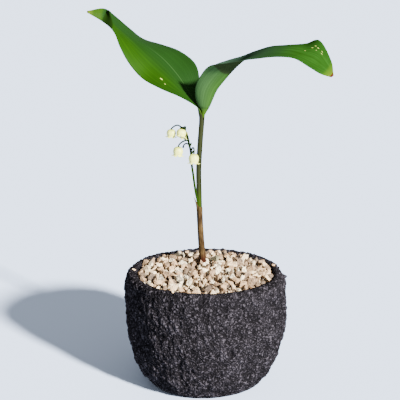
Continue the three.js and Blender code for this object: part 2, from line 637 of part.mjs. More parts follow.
function flowerStem() {
  const inSheath = SCAPE_HEIGHTS.map((height) => {
    const axis = shootAt(height);
    return [axis.x + SCAPE_SHIFT.x, axis.y + SCAPE_SHIFT.y, height];
  });
  const radiusAt = (share) => mix(SCAPE_RADIUS, SCAPE_TIP_RADIUS, share);
  const scape = solid(rod(curveThrough([...inSheath, ...SCAPE_FREE]), SCAPE_STEPS, SCAPE_SIDES, radiusAt));
  const pedicels = [...Object.values(PEDICELS), BARE_PEDICEL].map((line) => (
    solid(rod(curveThrough(line), PEDICEL_STEPS, PEDICEL_SIDES, () => PEDICEL_RADIUS))
  ));
  const bracts = BRACTS.map(({ base, tip }) => {
    const middle = base.map((value, k) => mix(value, tip[k], 0.5));
    return smallBlade([base, middle, tip], BRACT_HALVES, BRACT_ACROSS);
  });
  return geometryOf(fuse([scape, ...pedicels, ...bracts]));
}

// ---- Bells ----

/** One ring of a bell's wall; its lobes lie at whole sixths of a turn. */
function bellRing(sides, radiusAt, heightAt) {
  return Array.from({ length: sides }, (_, i) => {
    const angle = (-2 * Math.PI * i) / sides;
    const lobe = 0.5 + 0.5 * Math.cos(BELL_LOBES * angle);
    const radius = radiusAt(lobe);
    return new THREE.Vector3(radius * Math.cos(angle), radius * Math.sin(angle), heightAt(lobe));
  });
}

/** A bell hanging from the origin along -Z: a cup with six lobes turned outwards. */
function bellCup({ length, radius }) {
  const sides = BELL_LOBES * BELL_SIDES_PER_LOBE;
  const even = ([share, drop], wall) => (
    bellRing(sides, () => share * radius - wall, () => -drop * length - wall * BELL_INNER_SINK)
  );
  const lip = (wall, lower) => bellRing(
    sides,
    (lobe) => mix(BELL_NOTCH.radius, BELL_LOBE.radius, lobe) * radius - wall,
    (lobe) => -mix(BELL_NOTCH.drop, BELL_LOBE.drop, lobe) * length - lower,
  );
  const outside = BELL_OUTSIDE.map((place) => even(place, 0));
  const inside = [...BELL_OUTSIDE].reverse().slice(0, 3).map((place) => even(place, BELL_WALL));
  const cutRim = lip(BELL_WALL * BELL_RIM_CUT.inset, BELL_WALL * BELL_RIM_CUT.lower);
  const topOfInside = bellRing(
    sides,
    () => BELL_INSIDE_TOP.radius * radius,
    () => -BELL_INSIDE_TOP.drop * length - BELL_WALL,
  );
  return loft([...outside, lip(0, 0), cutRim, ...inside, topOfInside]);
}

/** A bell turned to its own axis and hung just below the end of its pedicel. */
function bell(name) {
  const end = vector(PEDICELS[name].at(-1));
  const axis = vector(BELLS[name].axis).normalize();
  const geometry = bellCup(BELLS[name]);
  geometry.applyQuaternion(new THREE.Quaternion().setFromUnitVectors(new THREE.Vector3(0, 0, -1), axis));
  const hang = end.addScaledVector(axis, PEDICEL_RADIUS + BELL_GAP);
  geometry.translate(hang.x, hang.y, hang.z);
  return geometry;
}

// ---- Assembly ----

/** A named piece with its own material. */
function piece(name, geometry, material) {
  const finished = merged(geometry);
  finished.computeVertexNormals();
  const mesh = new THREE.Mesh(finished, material.clone());
  mesh.name = name;
  return mesh;
}

const plant = new THREE.Group();
plant.add(piece('pot', pot(), STONEWARE));
plant.add(piece('soil', soil(), SOIL));
plant.add(piece('gravel', gravel(), GRAVEL));
plant.add(piece('rhizome', geometryOf(rhizomeBody(0)), RHIZOME_SKIN));
plant.add(piece('sheath', sheath(), SHEATH_SKIN));
plant.add(piece('outer_leaf', outerLeaf(), OUTER_LEAF));
plant.add(piece('inner_leaf', innerLeaf(), INNER_LEAF));
plant.add(piece('flower_stem', flowerStem(), STEM_GREEN));
for (const name of Object.keys(BELLS)) plant.add(piece(name, bell(name), BELL_WHITE));

export default plant;
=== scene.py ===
"""Potted lily of the valley: the looks of the plant and its pot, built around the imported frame.

Sizes are in millimetres in the fields and constants, and metres in every mesh. The origin is the
centre of the pot's foot, +X is to the right of the front view, +Y to the back and +Z up.
"""

from __future__ import annotations

import json
import logging
import math
from collections.abc import Iterable, Sequence
from dataclasses import dataclass, field
from enum import Enum
from typing import Any

import bmesh
import bpy
import numpy as np
from mathutils import Matrix, Vector

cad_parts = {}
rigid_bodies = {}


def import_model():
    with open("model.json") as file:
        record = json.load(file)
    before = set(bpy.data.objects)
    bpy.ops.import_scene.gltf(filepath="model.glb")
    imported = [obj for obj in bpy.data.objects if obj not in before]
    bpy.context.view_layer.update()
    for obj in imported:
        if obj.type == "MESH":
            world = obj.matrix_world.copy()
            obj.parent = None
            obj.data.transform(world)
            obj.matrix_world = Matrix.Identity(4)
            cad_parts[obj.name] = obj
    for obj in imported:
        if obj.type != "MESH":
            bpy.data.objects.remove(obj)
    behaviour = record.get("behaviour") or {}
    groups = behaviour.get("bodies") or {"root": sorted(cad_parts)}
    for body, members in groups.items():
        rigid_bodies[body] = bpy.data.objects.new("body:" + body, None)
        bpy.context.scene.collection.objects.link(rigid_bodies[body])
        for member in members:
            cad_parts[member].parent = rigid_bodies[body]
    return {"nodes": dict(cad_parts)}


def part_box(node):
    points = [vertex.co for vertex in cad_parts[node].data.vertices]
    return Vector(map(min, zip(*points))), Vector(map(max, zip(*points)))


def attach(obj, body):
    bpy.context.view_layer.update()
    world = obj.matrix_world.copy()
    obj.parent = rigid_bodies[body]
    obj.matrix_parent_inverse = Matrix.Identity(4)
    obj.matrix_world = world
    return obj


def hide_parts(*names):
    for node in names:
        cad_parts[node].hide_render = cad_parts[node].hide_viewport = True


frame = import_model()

LOG = logging.getLogger("lily")
MM = 0.001
FULL_TURN = 2 * math.pi
BODY = "root"
Colour = tuple[float, float, float]
Point = tuple[float, float, float]

# The axis of the shoot from its foot in the soil to the fork of the leaves.
SHOOT_AXIS: tuple[Point, ...] = (
    (-0.6, 10, 52), (-0.9, 10, 62), (-1.5, 10, 73), (-2.7, 10, 88.5), (-3.4, 10, 101), (-3.7, 10, 112),
    (-4, 10, 122), (-4.1, 10, 132.5), (-3.4, 10, 147), (-2.6, 10, 158), (-2.1, 10, 165),
)


# ---- Shapes and numbers ----


def catmull_rom(points: Sequence[Sequence[float]], shares: np.ndarray) -> np.ndarray:
    """A smooth line through given points.

    Args:
        points: The points, each with any number of values.
        shares: Places along the line from 0 to 1, even in the points' order.

    Returns:
        One row of values for each share.
    """
    values = np.asarray(points, float)
    values = np.vstack([2 * values[0] - values[1], values, 2 * values[-1] - values[-2]])
    place = np.clip(shares, 0, 1) * (len(points) - 1)
    first = np.minimum(place.astype(int), len(points) - 2)
    t = (place - first)[:, None]
    a, b, c, d = (values[first + k] for k in range(4))
    return 0.5 * (2 * b + (c - a) * t + (2 * a - 5 * b + 4 * c - d) * t**2 + (3 * b - a - 3 * c + d) * t**3)


def smooth_step(low: float, high: float, value: np.ndarray) -> np.ndarray:
    """A soft rise from 0 at low to 1 at high."""
    t = np.clip((value - low) / (high - low), 0, 1)
    return t * t * (3 - 2 * t)


def lattice_value(i: np.ndarray, j: np.ndarray, k: np.ndarray) -> np.ndarray:
    """A repeatable value from -1 to 1 for each whole-numbered place."""
    mixed = np.sin(i * 127.1 + j * 311.7 + k * 74.7) * 43758.5453
    return 2 * (mixed - np.floor(mixed)) - 1


def relief(places: np.ndarray, spacing: float) -> np.ndarray:
    """Smooth relief from -1 to 1 through space.

    Args:
        places: Points in millimetres, one to a row.
        spacing: The size of its lumps in millimetres.

    Returns:
        One value for each point.
    """
    spaced = places / spacing
    whole = np.floor(spaced)
    u, v, w = (t * t * (3 - 2 * t) for t in (spaced - whole).T)
    i, j, k = whole.T

    def edge(b: int, c: int) -> np.ndarray:
        """The relief along one edge of each lattice cell."""
        low = lattice_value(i, j + b, k + c)
        return low + (lattice_value(i + 1, j + b, k + c) - low) * u

    front = edge(0, 0) + (edge(1, 0) - edge(0, 0)) * v
    back = edge(0, 1) + (edge(1, 1) - edge(0, 1)) * v
    return front + (back - front) * w


def shoot_at(heights: np.ndarray) -> np.ndarray:
    """The shoot's axis at each height, one point to a row."""
    x, y, z = catmull_rom(SHOOT_AXIS, np.linspace(0, 1, 400)).T
    return np.stack([np.interp(heights, z, x), np.interp(heights, z, y), heights], 1)


def scaled(colour: Colour, gain: float) -> Colour:
    """A colour made lighter or darker."""
    return tuple(gain * part for part in colour)


def unit(vectors: np.ndarray) -> np.ndarray:
    """Vectors of the same directions and length 1, along the last axis."""
    return vectors / np.linalg.norm(vectors, axis=-1, keepdims=True)


def dot(first: np.ndarray, second: np.ndarray) -> np.ndarray:
    """The dot products along the last axis, which is kept."""
    return (first * second).sum(-1, keepdims=True)


def ring_angles(sides: int) -> np.ndarray:
    """Even angles round a circle, in radians."""
    return np.linspace(0, FULL_TURN, sides, endpoint=False)


def round_points(radius: Any, angle: np.ndarray, height: Any) -> np.ndarray:
    """The points at a radius and an angle round the upright axis, at a height."""
    return np.stack(np.broadcast_arrays(radius * np.cos(angle), radius * np.sin(angle), height), -1)


def grid_faces(
    rows: int, columns: int, start: int = 0, wrap: bool = False, loop: bool = False,
) -> list[tuple[int, ...]]:
    """The quads of a grid of vertices stored row by row.

    Args:
        rows: Rows of vertices.
        columns: Vertices in a row.
        start: Number of the first vertex.
        wrap: Whether each row closes on itself.
        loop: Whether the last row joins the first.

    Returns:
        The faces, turned outwards where rows rise and columns run counterclockwise.
    """
    faces = []
    for row in range(rows if loop else rows - 1):
        low, high = start + row * columns, start + (row + 1) % rows * columns
        for column in range(columns if wrap else columns - 1):
            following = (column + 1) % columns
            faces.append((low + column, low + following, high + following, high + column))
    return faces


def tube_faces(rows: int, sides: int) -> list[tuple[int, ...]]:
    """The quads of a tube of rings, and a flat cap at each of its ends."""
    caps = [tuple(reversed(range(sides))), tuple(range((rows - 1) * sides, rows * sides))]
    return grid_faces(rows, sides, wrap=True) + caps


def link(made: bpy.types.Object) -> bpy.types.Object:
    """Puts an object in the scene, and gives it back."""
    bpy.context.scene.collection.objects.link(made)
    return made


def new_object(
    name: str, points: np.ndarray, faces: Iterable[tuple[int, ...]], smooth: bool = True,
) -> bpy.types.Object:
    """A mesh object at the origin.

    Args:
        name: The object's name.
        points: Vertices in millimetres.
        faces: Vertex numbers of each face.
        smooth: Whether the faces are shaded smooth.

    Returns:
        The object, linked to the scene.
    """
    mesh = bpy.data.meshes.new(name)
    mesh.from_pydata((np.asarray(points) * MM).tolist(), [], list(faces))
    mesh.polygons.foreach_set("use_smooth", [smooth] * len(mesh.polygons))
    mesh.update()
    return link(bpy.data.objects.new(name, mesh))


def store(made: bpy.types.Object, name: str, values: np.ndarray) -> None:
    """Keeps a number for each vertex under a name that the materials read."""
    layer = made.data.attributes.new(name, "FLOAT", "POINT")
    layer.data.foreach_set("value", np.asarray(values, np.float32))


def join(target: bpy.types.Object, others: Sequence[bpy.types.Object]) -> None:
    """Joins other objects into one."""
    with bpy.context.temp_override(active_object=target, selected_editable_objects=[target, *others]):
        bpy.ops.object.join()


def plain_mesh(made: bpy.types.Object) -> None:
    """Turns an object's modifiers into its own mesh.

    Args:
        made: The object.
    """
    evaluated = made.evaluated_get(bpy.context.evaluated_depsgraph_get())
    mesh = bpy.data.meshes.new_from_object(evaluated)
    made.modifiers.clear()
    made.data = mesh
    mesh.name = made.name


def enlist(made: bpy.types.Object, slot: str, *nodes: str) -> None:
    """Puts a finished piece on the frame in place of the nodes that it stands for.

    Args:
        made: The piece.
        slot: The record's material slot that its finish belongs to; not used.
        *nodes: The nodes.
    """
    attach(made, BODY)
    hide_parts(*nodes)
    LOG.info("%s: %d faces", made.name, len(made.data.polygons))


# ---- Node trees ----


class Signal:
    """What a node gives out, with signs of arithmetic that add the nodes to follow it."""

    def __init__(self, graph: Graph, socket: bpy.types.NodeSocket) -> None:
        """Keeps the socket and the graph that it belongs to."""
        self.graph, self.socket = graph, socket

    def __add__(self, other: Signal | float) -> Signal:
        """The sum."""
        return self.graph.math("ADD", self, other)

    def __sub__(self, other: Signal | float) -> Signal:
        """The difference."""
        return self.graph.math("SUBTRACT", self, other)

    def __mul__(self, other: Signal | float) -> Signal:
        """The product."""
        return self.graph.math("MULTIPLY", self, other)

    def __abs__(self) -> Signal:
        """The size without its sign."""
        return self.graph.math("ABSOLUTE", self)

    def step(self, low: float, high: float) -> Signal:
        """A soft rise from 0 at low to 1 at high."""
        settings = {"interpolation_type": "SMOOTHSTEP"}
        return self.graph.value("ShaderNodeMapRange", settings, Value=self, From_Min=low, From_Max=high)


class Graph:
    """Builds a node tree in few words."""

    def __init__(self, tree: bpy.types.NodeTree) -> None:
        """Takes over a tree and empties it."""
        self.tree = tree
        tree.nodes.clear()

    @classmethod
    def geometry(cls, name: str, **inputs: str) -> tuple[Graph, Any]:
        """Starts a Geometry Nodes tree.

        Args:
            name: The tree's name.
            **inputs: The kind of each input besides the geometry; an underscore stands for a space.

        Returns:
            The graph, and the sockets of its inputs by name.
        """
        tree = bpy.data.node_groups.new(name, "GeometryNodeTree")
        add_socket = tree.interface.new_socket
        add_socket("Geometry", in_out="OUTPUT", socket_type="NodeSocketGeometry")
        for label, kind in {"Geometry": "Geometry", **inputs}.items():
            add_socket(label.replace("_", " "), in_out="INPUT", socket_type=f"NodeSocket{kind}")
        graph = cls(tree)
        return graph, graph.add("NodeGroupInput").outputs

    def finish(self, geometry: Any, material: Any, join_distance: Any = None) -> bpy.types.NodeTree:
        """Ends a Geometry Nodes tree with plain meshes and their material.

        Args:
            geometry: What the tree has made.
            material: The material, or the input that gives it.
            join_distance: How close points are joined, or None to join none.

        Returns:
            The tree.
        """
        real = self.add("GeometryNodeRealizeInstances", Geometry=geometry)
        if join_distance is not None:
            real = self.add("GeometryNodeMergeByDistance", Geometry=real, Distance=join_distance)
        dressed = self.add("GeometryNodeSetMaterial", Geometry=real, Material=material)
        self.add("NodeGroupOutput", Geometry=dressed)
        return self.tree

    def add(self, kind: str, settings: dict[str, Any] | None = None, **inputs: Any) -> bpy.types.Node:
        """Adds a node.

        Args:
            kind: The node's type.
            settings: Its properties.
            **inputs: Values, nodes or signals for its inputs. An underscore stands for a space in a
                name, and in3 is the input numbered 3.

        Returns:
            The node.
        """
        node = self.tree.nodes.new(kind)
        for key, value in (settings or {}).items():
            setattr(node, key, value)
        for key, value in inputs.items():
            index = key.removeprefix("in")
            socket = node.inputs[int(index) if index.isdigit() else key.replace("_", " ")]
            if isinstance(value, bpy.types.Node):
                value = value.outputs[0]
            elif isinstance(value, Signal):
                value = value.socket
            if isinstance(value, bpy.types.NodeSocket):
                self.tree.links.new(value, socket)
            elif isinstance(value, tuple) and len(value) < len(socket.default_value):
                socket.default_value = (*value, 1)
            else:
                socket.default_value = value
        return node

    def value(
        self, kind: str, settings: dict[str, Any] | None = None, output: int | str = 0, **inputs: Any,
    ) -> Signal:
        """Adds a node as add does, and gives the output with the given number or name."""
        return Signal(self, self.add(kind, settings, **inputs).outputs[output])

    def math(self, operation: str, *values: Any) -> Signal:
        """The result of a mathematical operation on numbers or signals."""
        named = {f"in{index}": value for index, value in enumerate(values)}
        return self.value("ShaderNodeMath", {"operation": operation}, **named)

    def ramp(self, value: Signal, stops: Sequence[tuple[float, Colour]]) -> Signal:
        """A colour that changes with a value.

        Args:
            value: The value.
            stops: Places from 0 to 1, with the colour at each.

        Returns:
            The colour.
        """
        node = self.add("ShaderNodeValToRGB", Fac=value)
        elements = node.color_ramp.elements
        for index, (place, colour) in enumerate(stops):
            element = elements[index] if index < 2 else elements.new(place)
            element.position, element.color = place, (*colour, 1)
        return Signal(self, node.outputs["Color"])

    def mix(self, share: Any, first: Any, second: Any, blend: str = "MIX") -> Signal:
        """A mix of two colours, all second where the share is 1."""
        settings = {"data_type": "RGBA", "blend_type": blend}
        return self.value("ShaderNodeMix", settings, output=2, in0=share, in6=first, in7=second)

    def coats(self, ground: Any, *coats: tuple[Signal, Any]) -> Signal:
        """Lays colours over a ground.

        Args:
            ground: The colour to start from.
            *coats: The share and the colour of each coat, from the lowest up.

        Returns:
            The colour that shows.
        """
        for share, colour in coats:
            ground = self.mix(share, ground, colour)
        return ground

    def noise(self, place: Signal, scale: float, detail: float = 3, rough: float = 0.55) -> Signal:
        """Noise from about 0 to 1 with features of 1/scale."""
        return self.value("ShaderNodeTexNoise", Vector=place, Scale=scale, Detail=detail, Roughness=rough)

    def attribute(self, name: str) -> Signal:
        """A number kept on the mesh."""
        return self.value("ShaderNodeAttribute", {"attribute_name": name}, output="Fac")

    def height(self, place: Signal) -> Signal:
        """The height of a place above the floor, in metres."""
        return self.value("ShaderNodeSeparateXYZ", output=2, Vector=place)

    def flat(self, x: Signal, y: Signal) -> Signal:
        """A place on a flat pattern."""
        return self.value("ShaderNodeCombineXYZ", X=x, Y=y)


def run_tree(made: bpy.types.Object, tree: bpy.types.NodeTree, values: dict[str, Any]) -> None:
    """Runs a Geometry Nodes tree on an object and keeps the result as its plain mesh.

    Args:
        made: The object.
        tree: The tree.
        values: The tree's inputs by name, which are set by their sockets' identifiers.
    """
    modifier = made.modifiers.new(tree.name, "NODES")
    modifier.node_group = tree
    for item in tree.interface.items_tree:
        if item.item_type == "SOCKET" and item.in_out == "INPUT" and item.name in values:
            modifier[item.identifier] = values[item.name]
    plain_mesh(made)


# ---- Finishes ----


@dataclass(frozen=True)
class Finish:
    """The base of each surface finish: a material with one Principled shader."""

    name: str
    rough: float = 0.5
    gloss: float = 0.5
    bump_depth: float = 0.0
    wax: float = 0.0
    wax_depth: Point = (0.002, 0.002, 0.0015)

    def paint(self, graph: Graph, place: Signal) -> tuple[Signal, Signal]:
        """The colour and the height of the relief; each finish has its own."""
        raise NotImplementedError

    def build(self) -> bpy.types.Material:
        """Makes the material.

        Returns:
            The material.
        """
        material = bpy.data.materials.new(self.name)
        material.use_nodes = True
        graph = Graph(material.node_tree)
        colour, height = self.paint(graph, graph.value("ShaderNodeTexCoord", output="Object"))
        shader = graph.add(
            "ShaderNodeBsdfPrincipled", Base_Color=colour, Roughness=self.rough,
            Specular_IOR_Level=self.gloss,
        )
        if self.wax:
            shader.inputs["Subsurface Weight"].default_value = self.wax
            shader.inputs["Subsurface Radius"].default_value = self.wax_depth
        if self.bump_depth:
            bump = graph.add("ShaderNodeBump", Height=height, Distance=self.bump_depth * MM, Strength=1)
            graph.tree.links.new(bump.outputs[0], shader.inputs["Normal"])
        graph.add("ShaderNodeOutputMaterial", Surface=shader)
        return material


@dataclass(frozen=True)
class StonewareFinish(Finish):
    """Unglazed charcoal clay with coarse grog; painted shade darkens its pits and clefts, and pale specks
    painted on its raised grains stand in for glints.
    """

    name: str = "stoneware"
    gloss: float = 0.0
    bump_depth: float = 0.7
    dark: Colour = (0.0044, 0.0039, 0.0043)
    light: Colour = (0.042, 0.0365, 0.0414)
    middle_share: float = 0.4
    tone_stops: tuple[float, float, float] = (0.34, 0.64, 1.0)
    # Pale specks painted on the raised grains as glints.
    speck: Colour = (0.095, 0.085, 0.096)
    speck_share: float = 0.3
    speck_from: tuple[float, float] = (0.6, 0.7)
    speck_tone: tuple[float, float] = (0.55, 0.85)
    grain_scale: float = 600
    mottle_scale: float = 420
    lump_scale: float = 140
    lump_turn: float = 0.6
    lump_stretch: float = 0.5
    sand_scale: float = 1250
    speck_scale: float = 760
    # Shares of the tone: the depth of the pits (painted shade), the grains (painted shade in their clefts),
    # the mottle, the lumps and the sand.
    tone_shares: tuple[float, ...] = (0.36, 0.6, 0.25, 0.1, 0.5)
    relief_shares: tuple[float, float] = (0.4, 0.6)
    cleft_sharpness: float = 6.0

    def paint(self, graph: Graph, place: Signal) -> tuple[Signal, Signal]:
        """Mottled charcoal, with painted shade in its pits and clefts and painted glints on its raised
        grains.

        Args:
            graph: The material's nodes.
            place: The place on the object.

        Returns:
            The colour and the height of the relief.
        """
        turn, stretch = (0, self.lump_turn, 0), (1, 1, self.lump_stretch)
        streaks = graph.value("ShaderNodeMapping", Vector=place, Rotation=turn, Scale=stretch)
        grains = self.grains(graph, place, self.grain_scale)
        lumps = self.grains(graph, streaks, self.lump_scale)
        mottle = graph.noise(place, self.mottle_scale, 6, 0.75)
        sand = graph.noise(place, self.sand_scale, 2, 0.6)
        of_pit_shade, of_grain_shade, of_mottle, of_lumps, of_sand = self.tone_shares
        # The pits and the clefts between the grains are painted darker: painted shade.
        tone = graph.attribute("depth") * of_pit_shade + grains * of_grain_shade + mottle * of_mottle
        tone = tone + (lumps - 0.5) * of_lumps + (sand - 0.5) * of_sand
        low, middle, high = self.tone_stops
        stops = [(low, self.dark), (high, self.light), (middle, scaled(self.light, self.middle_share))]
        # Pale specks on the raised grains: painted glints.
        painted_glints = graph.noise(place, self.speck_scale, 2, 0.5).step(*self.speck_from) * self.speck_share
        body = graph.mix(painted_glints * tone.step(*self.speck_tone), graph.ramp(tone, stops), self.speck)
        sand_share, lump_share = self.relief_shares
        return body, grains + sand * sand_share + lumps * lump_share

    def grains(self, graph: Graph, place: Signal, scale: float) -> Signal:
        """Rounded grains from 0 to about 1 with sharp clefts between them."""
        centred = graph.noise(place, scale, 2, 0.5) - 0.5
        return graph.math("MINIMUM", abs(centred) * self.cleft_sharpness, 1.0)


@dataclass(frozen=True)
class GravelFinish(Finish):
    """Angular grit in cream, pink, tan, white and grey, each stone of its own colour."""

    name: str = "gravel"
    rough: float = 0.72
    bump_depth: float = 0.9
    palette: tuple[tuple[float, Colour], ...] = (
        (0.0, (0.05, 0.03, 0.016)), (0.12, (0.12, 0.076, 0.04)), (0.28, (0.21, 0.13, 0.068)),
        (0.42, (0.34, 0.205, 0.1)), (0.56, (0.41, 0.262, 0.138)), (0.7, (0.52, 0.365, 0.2)),
        (0.86, (0.77, 0.64, 0.43)), (1.0, (0.15, 0.125, 0.085)),
    )
    olive: Colour = (0.14, 0.122, 0.06)
    # The colour of the dark flecks on the stones, and the painted shade of the gaps on the bed under them.
    shade: Colour = (0.03, 0.02, 0.015)
    mottle_scale: float = 950
    wander: float = 1.1
    fleck_scale: float = 1500
    fleck_from: tuple[float, float] = (0.6, 0.68)
    olive_from: tuple[float, float] = (1.4, 1.5)
    filler_from: tuple[float, float] = (-0.4, -0.5)

    def paint(self, graph: Graph, place: Signal) -> tuple[Signal, Signal]:
        """Each stone's tint, mottled by its grain and flecked dark, over a bed painted dark as the shade in
        the gaps.

        Args:
            graph: The material's nodes.
            place: The place on the object.

        Returns:
            The colour and the height of the relief.
        """
        tint = graph.attribute("tint")
        mottle = graph.noise(place, self.mottle_scale, 4, 0.7)
        body = graph.coats(
            graph.ramp(tint + (mottle - 0.5) * self.wander, self.palette),
            (tint.step(*self.olive_from), self.olive),
            (graph.noise(place, self.fleck_scale, 2).step(*self.fleck_from), self.shade),
            # The bed under the stones: painted shade of the gaps.
            (tint.step(*self.filler_from), self.shade),
        )
        return body, mottle


class Side(Enum):
    """Which face of a leaf is meant."""

    UPPER = 1.0
    UNDER = 0.0


@dataclass(frozen=True)
class LeafFinish(Finish):
    """A thin satin leaf with parallel veins, a green stalk and a yellowing tip, with painted shade and
    painted shadows on parts of its greens.

    Places along the blade run from 0 at the stalk to 1 at the tip, and places across it from -1 at
    the near margin to 1 at the far one. A mark placed past 2 lies on no leaf.
    """

    name: str = "leaf"
    rough: float = 0.48
    gloss: float = 0.03
    bump_depth: float = 0.1
    upper: Colour = (0.009, 0.034, 0.0004)
    upper_dark: Colour = (0.0048, 0.0203, 0.0005)
    # A cooler, darker green painted on the shaded parts of the upper face: painted shade; the attribute that
    # places it, and where it sets in.
    cool: Colour = (0.0048, 0.02, 0.0025)
    cool_by: str = "across"
    cool_from: tuple[float, float] = (-0.6, -0.05)
    # How much of that painted shade lies on the upper face towards the stalk, and where it ends.
    foot_share: float = 0.0
    foot_end: tuple[float, float] = (0.34, 0.14)
    under: Colour = (0.018, 0.04, 0.01)
    under_gain: float = 1.25
    # A painted shadow on the underside near the twist: its colour, where it starts along the blade, its slant
    # across it and its wobble.
    under_dark: Colour = (0.0095, 0.018, 0.005)
    under_dark_from: tuple[float, float] = (2.0, 2.1)
    under_dark_slant: float = 0.02
    under_dark_wobble: float = 0.06
    under_rib: Colour = (0.0165, 0.047, 0.006)
    under_rib_share: float = 0.0
    tip: Colour = (0.012, 0.034, 0.0006)
    tip_start: float = 0.885
    tip_end: Colour = (0.045, 0.066, 0.004)
    # The dark green of the painted shadow in the folded strip near the tip, and the crease lines that bound
    # the strip.
    crease: Colour = (0.0038, 0.0122, 0.0009)
    crease_lines: tuple[float, ...] = (2.0, 2.0, 2.1, 2.1)
    rib: Colour = (0.014, 0.037, 0.008)
    scorch: Colour = (0.035, 0.006, 0.002)
    scorch_start: float = 0.992
    age_wobble: float = 0.03
    base: Colour = (0.022, 0.05, 0.002)
    base_end: float = 0.12
    stalk: Colour = (0.0125, 0.0147, 0.0048)
    stalk_foot: Colour = (0.0155, 0.0275, 0.0018)
    fleck: Colour = (0.3, 0.34, 0.07)
    flecks: tuple[Point, ...] = ()
    fleck_stretch: tuple[float, float] = (1.6, 4.0)
    # Patterns on the blade: the stretch across and along it, and the scale.
    streaks: Point = (9, 1.4, 3.2)
    broad_bands: Point = (4, 0.6, 3.1)
    cloud_scale: float = 45
    tone_shares: tuple[float, float] = (0.8, 0.4)
    under_tone: tuple[float, float] = (0.3, 0.9)
    upper_tone: tuple[float, float] = (0.35, 0.85)
    under_rib_from: tuple[float, float] = (-0.8, -0.1)
    band_from: tuple[float, float] = (0.38, 0.62)
    vein_from: tuple[float, float] = (0.25, 0.0)
    rib_width: tuple[float, float] = (0.024, 0.006)
    rib_end: tuple[float, float] = (0.62, 0.3)
    stalk_foot_height: tuple[float, float] = (0.124, 0.112)
    tip_end_from: tuple[float, float] = (0.95, 0.995)
    stalk_end: tuple[float, float] = (0.05, -0.03)
    band_level: float = 0.62
    band_strength: float = 0.38
    vein_count: float = 30
    vein_share: float = 0.1
    vein_height: float = 0.25

    def paint(self, graph: Graph, place: Signal) -> tuple[Signal, Signal]:
        """Greens that follow the veins, with the marks of age, painted shade and painted shadows.

        Args:
            graph: The material's nodes.
            place: The place on the object.

        Returns:
            The colour and the height of the relief.
        """
        across, along, side, blade = map(graph.attribute, ("across", "along", "side", "blade"))
        streak, broad = (
            graph.noise(graph.flat(across * wide, along * long), scale, detail, rough)
            for (wide, long, scale), detail, rough in ((self.streaks, 5, 0.7), (self.broad_bands, 3, 0.6))
        )
        veins = abs(graph.math("SINE", across * self.vein_count))
        cloud = graph.noise(place, self.cloud_scale)
        of_streak, of_cloud = self.tone_shares
        tone = streak * of_streak + cloud * of_cloud
        # Where the painted shadow on the underside starts.
        turned = blade + across * self.under_dark_slant + (cloud - 0.5) * self.under_dark_wobble
        back = graph.coats(
            graph.mix(tone.step(*self.under_tone), self.under, scaled(self.under, self.under_gain)),
            (across.step(*self.under_rib_from) * self.under_rib_share, self.under_rib),
            (turned.step(*self.under_dark_from), self.under_dark),
        )
        # The upper face, with painted shade in the cooler green.
        face = graph.coats(
            graph.mix(tone.step(*self.upper_tone), self.upper_dark, self.upper),
            (graph.attribute(self.cool_by).step(*self.cool_from), self.cool),
            (blade.step(*self.foot_end) * self.foot_share, self.cool),
        )
        bands = broad.step(*self.band_from) * self.band_strength
        body = graph.mix(bands, graph.mix(side, back, face), (self.band_level,) * 3, "MULTIPLY")
        worn = blade + (cloud - 0.5) * self.age_wobble
        low = graph.height(place).step(*self.stalk_foot_height)
        body = graph.coats(
            body,
            (veins.step(*self.vein_from) * self.vein_share, self.tip),
            (abs(across).step(*self.rib_width) * blade.step(*self.rib_end), self.rib),
            (blade.step(self.base_end, 0.0), self.base),
            (worn.step(self.tip_start, self.tip_start + 0.03), self.tip),
            (worn.step(*self.tip_end_from), self.tip_end),
            # Painted shadow in the folded strip near the tip.
            (self.crease_share(graph, across, blade), self.crease),
            (worn.step(self.scorch_start, self.scorch_start + 0.006), self.scorch),
            *((self.fleck_share(graph, across, blade, mark), self.fleck) for mark in self.flecks),
            (blade.step(*self.stalk_end), graph.mix(low, self.stalk, self.stalk_foot)),
        )
        return body, veins * self.vein_height + streak

    def crease_share(self, graph: Graph, across: Signal, blade: Signal) -> Signal:
        """How much painted shadow falls on a place in the folded strip between the two crease lines.

        Args:
            graph: The material's nodes.
            across: The place across the blade.
            blade: The place along the blade.

        Returns:
            1 inside the strip and 0 outside it.
        """
        near_start, far_start, near_end, far_end = self.crease_lines
        starts, ends = (
            graph.value("ShaderNodeMapRange", Value=across, From_Min=-1, To_Min=near, To_Max=far)
            for near, far in ((near_start, far_start), (near_end, far_end))
        )
        return (blade - starts).step(0.0, 0.006) * (blade - ends).step(0.003, -0.003)

    def fleck_share(self, graph: Graph, across: Signal, blade: Signal, mark: Point) -> Signal:
        """How much of a pale fleck shows at a place on the blade.

        Args:
            graph: The material's nodes.
            across: The place across the blade.
            blade: The place along the blade.
            mark: The fleck's own place across and along, and its size.

        Returns:
            1 at the middle of the fleck and 0 outside it.
        """
        sideways = (across - mark[0]) * self.fleck_stretch[0]
        lengthwise = (blade - mark[1]) * self.fleck_stretch[1]
        reach = graph.math("SQRT", sideways * sideways + lengthwise * lengthwise)
        return reach.step(mark[2], mark[2] * 0.5)


# The outer leaf: painted shade on its far half and towards its stalk, and a painted shadow in the fold near
# its tip.
OUTER_LEAF_FINISH = LeafFinish(
    "outer_leaf", foot_share=0.75, crease_lines=(0.765, 0.838, 0.895, 0.872),
    flecks=((-0.6, 0.332, 0.04), (-0.685, 0.3, 0.022)),
)
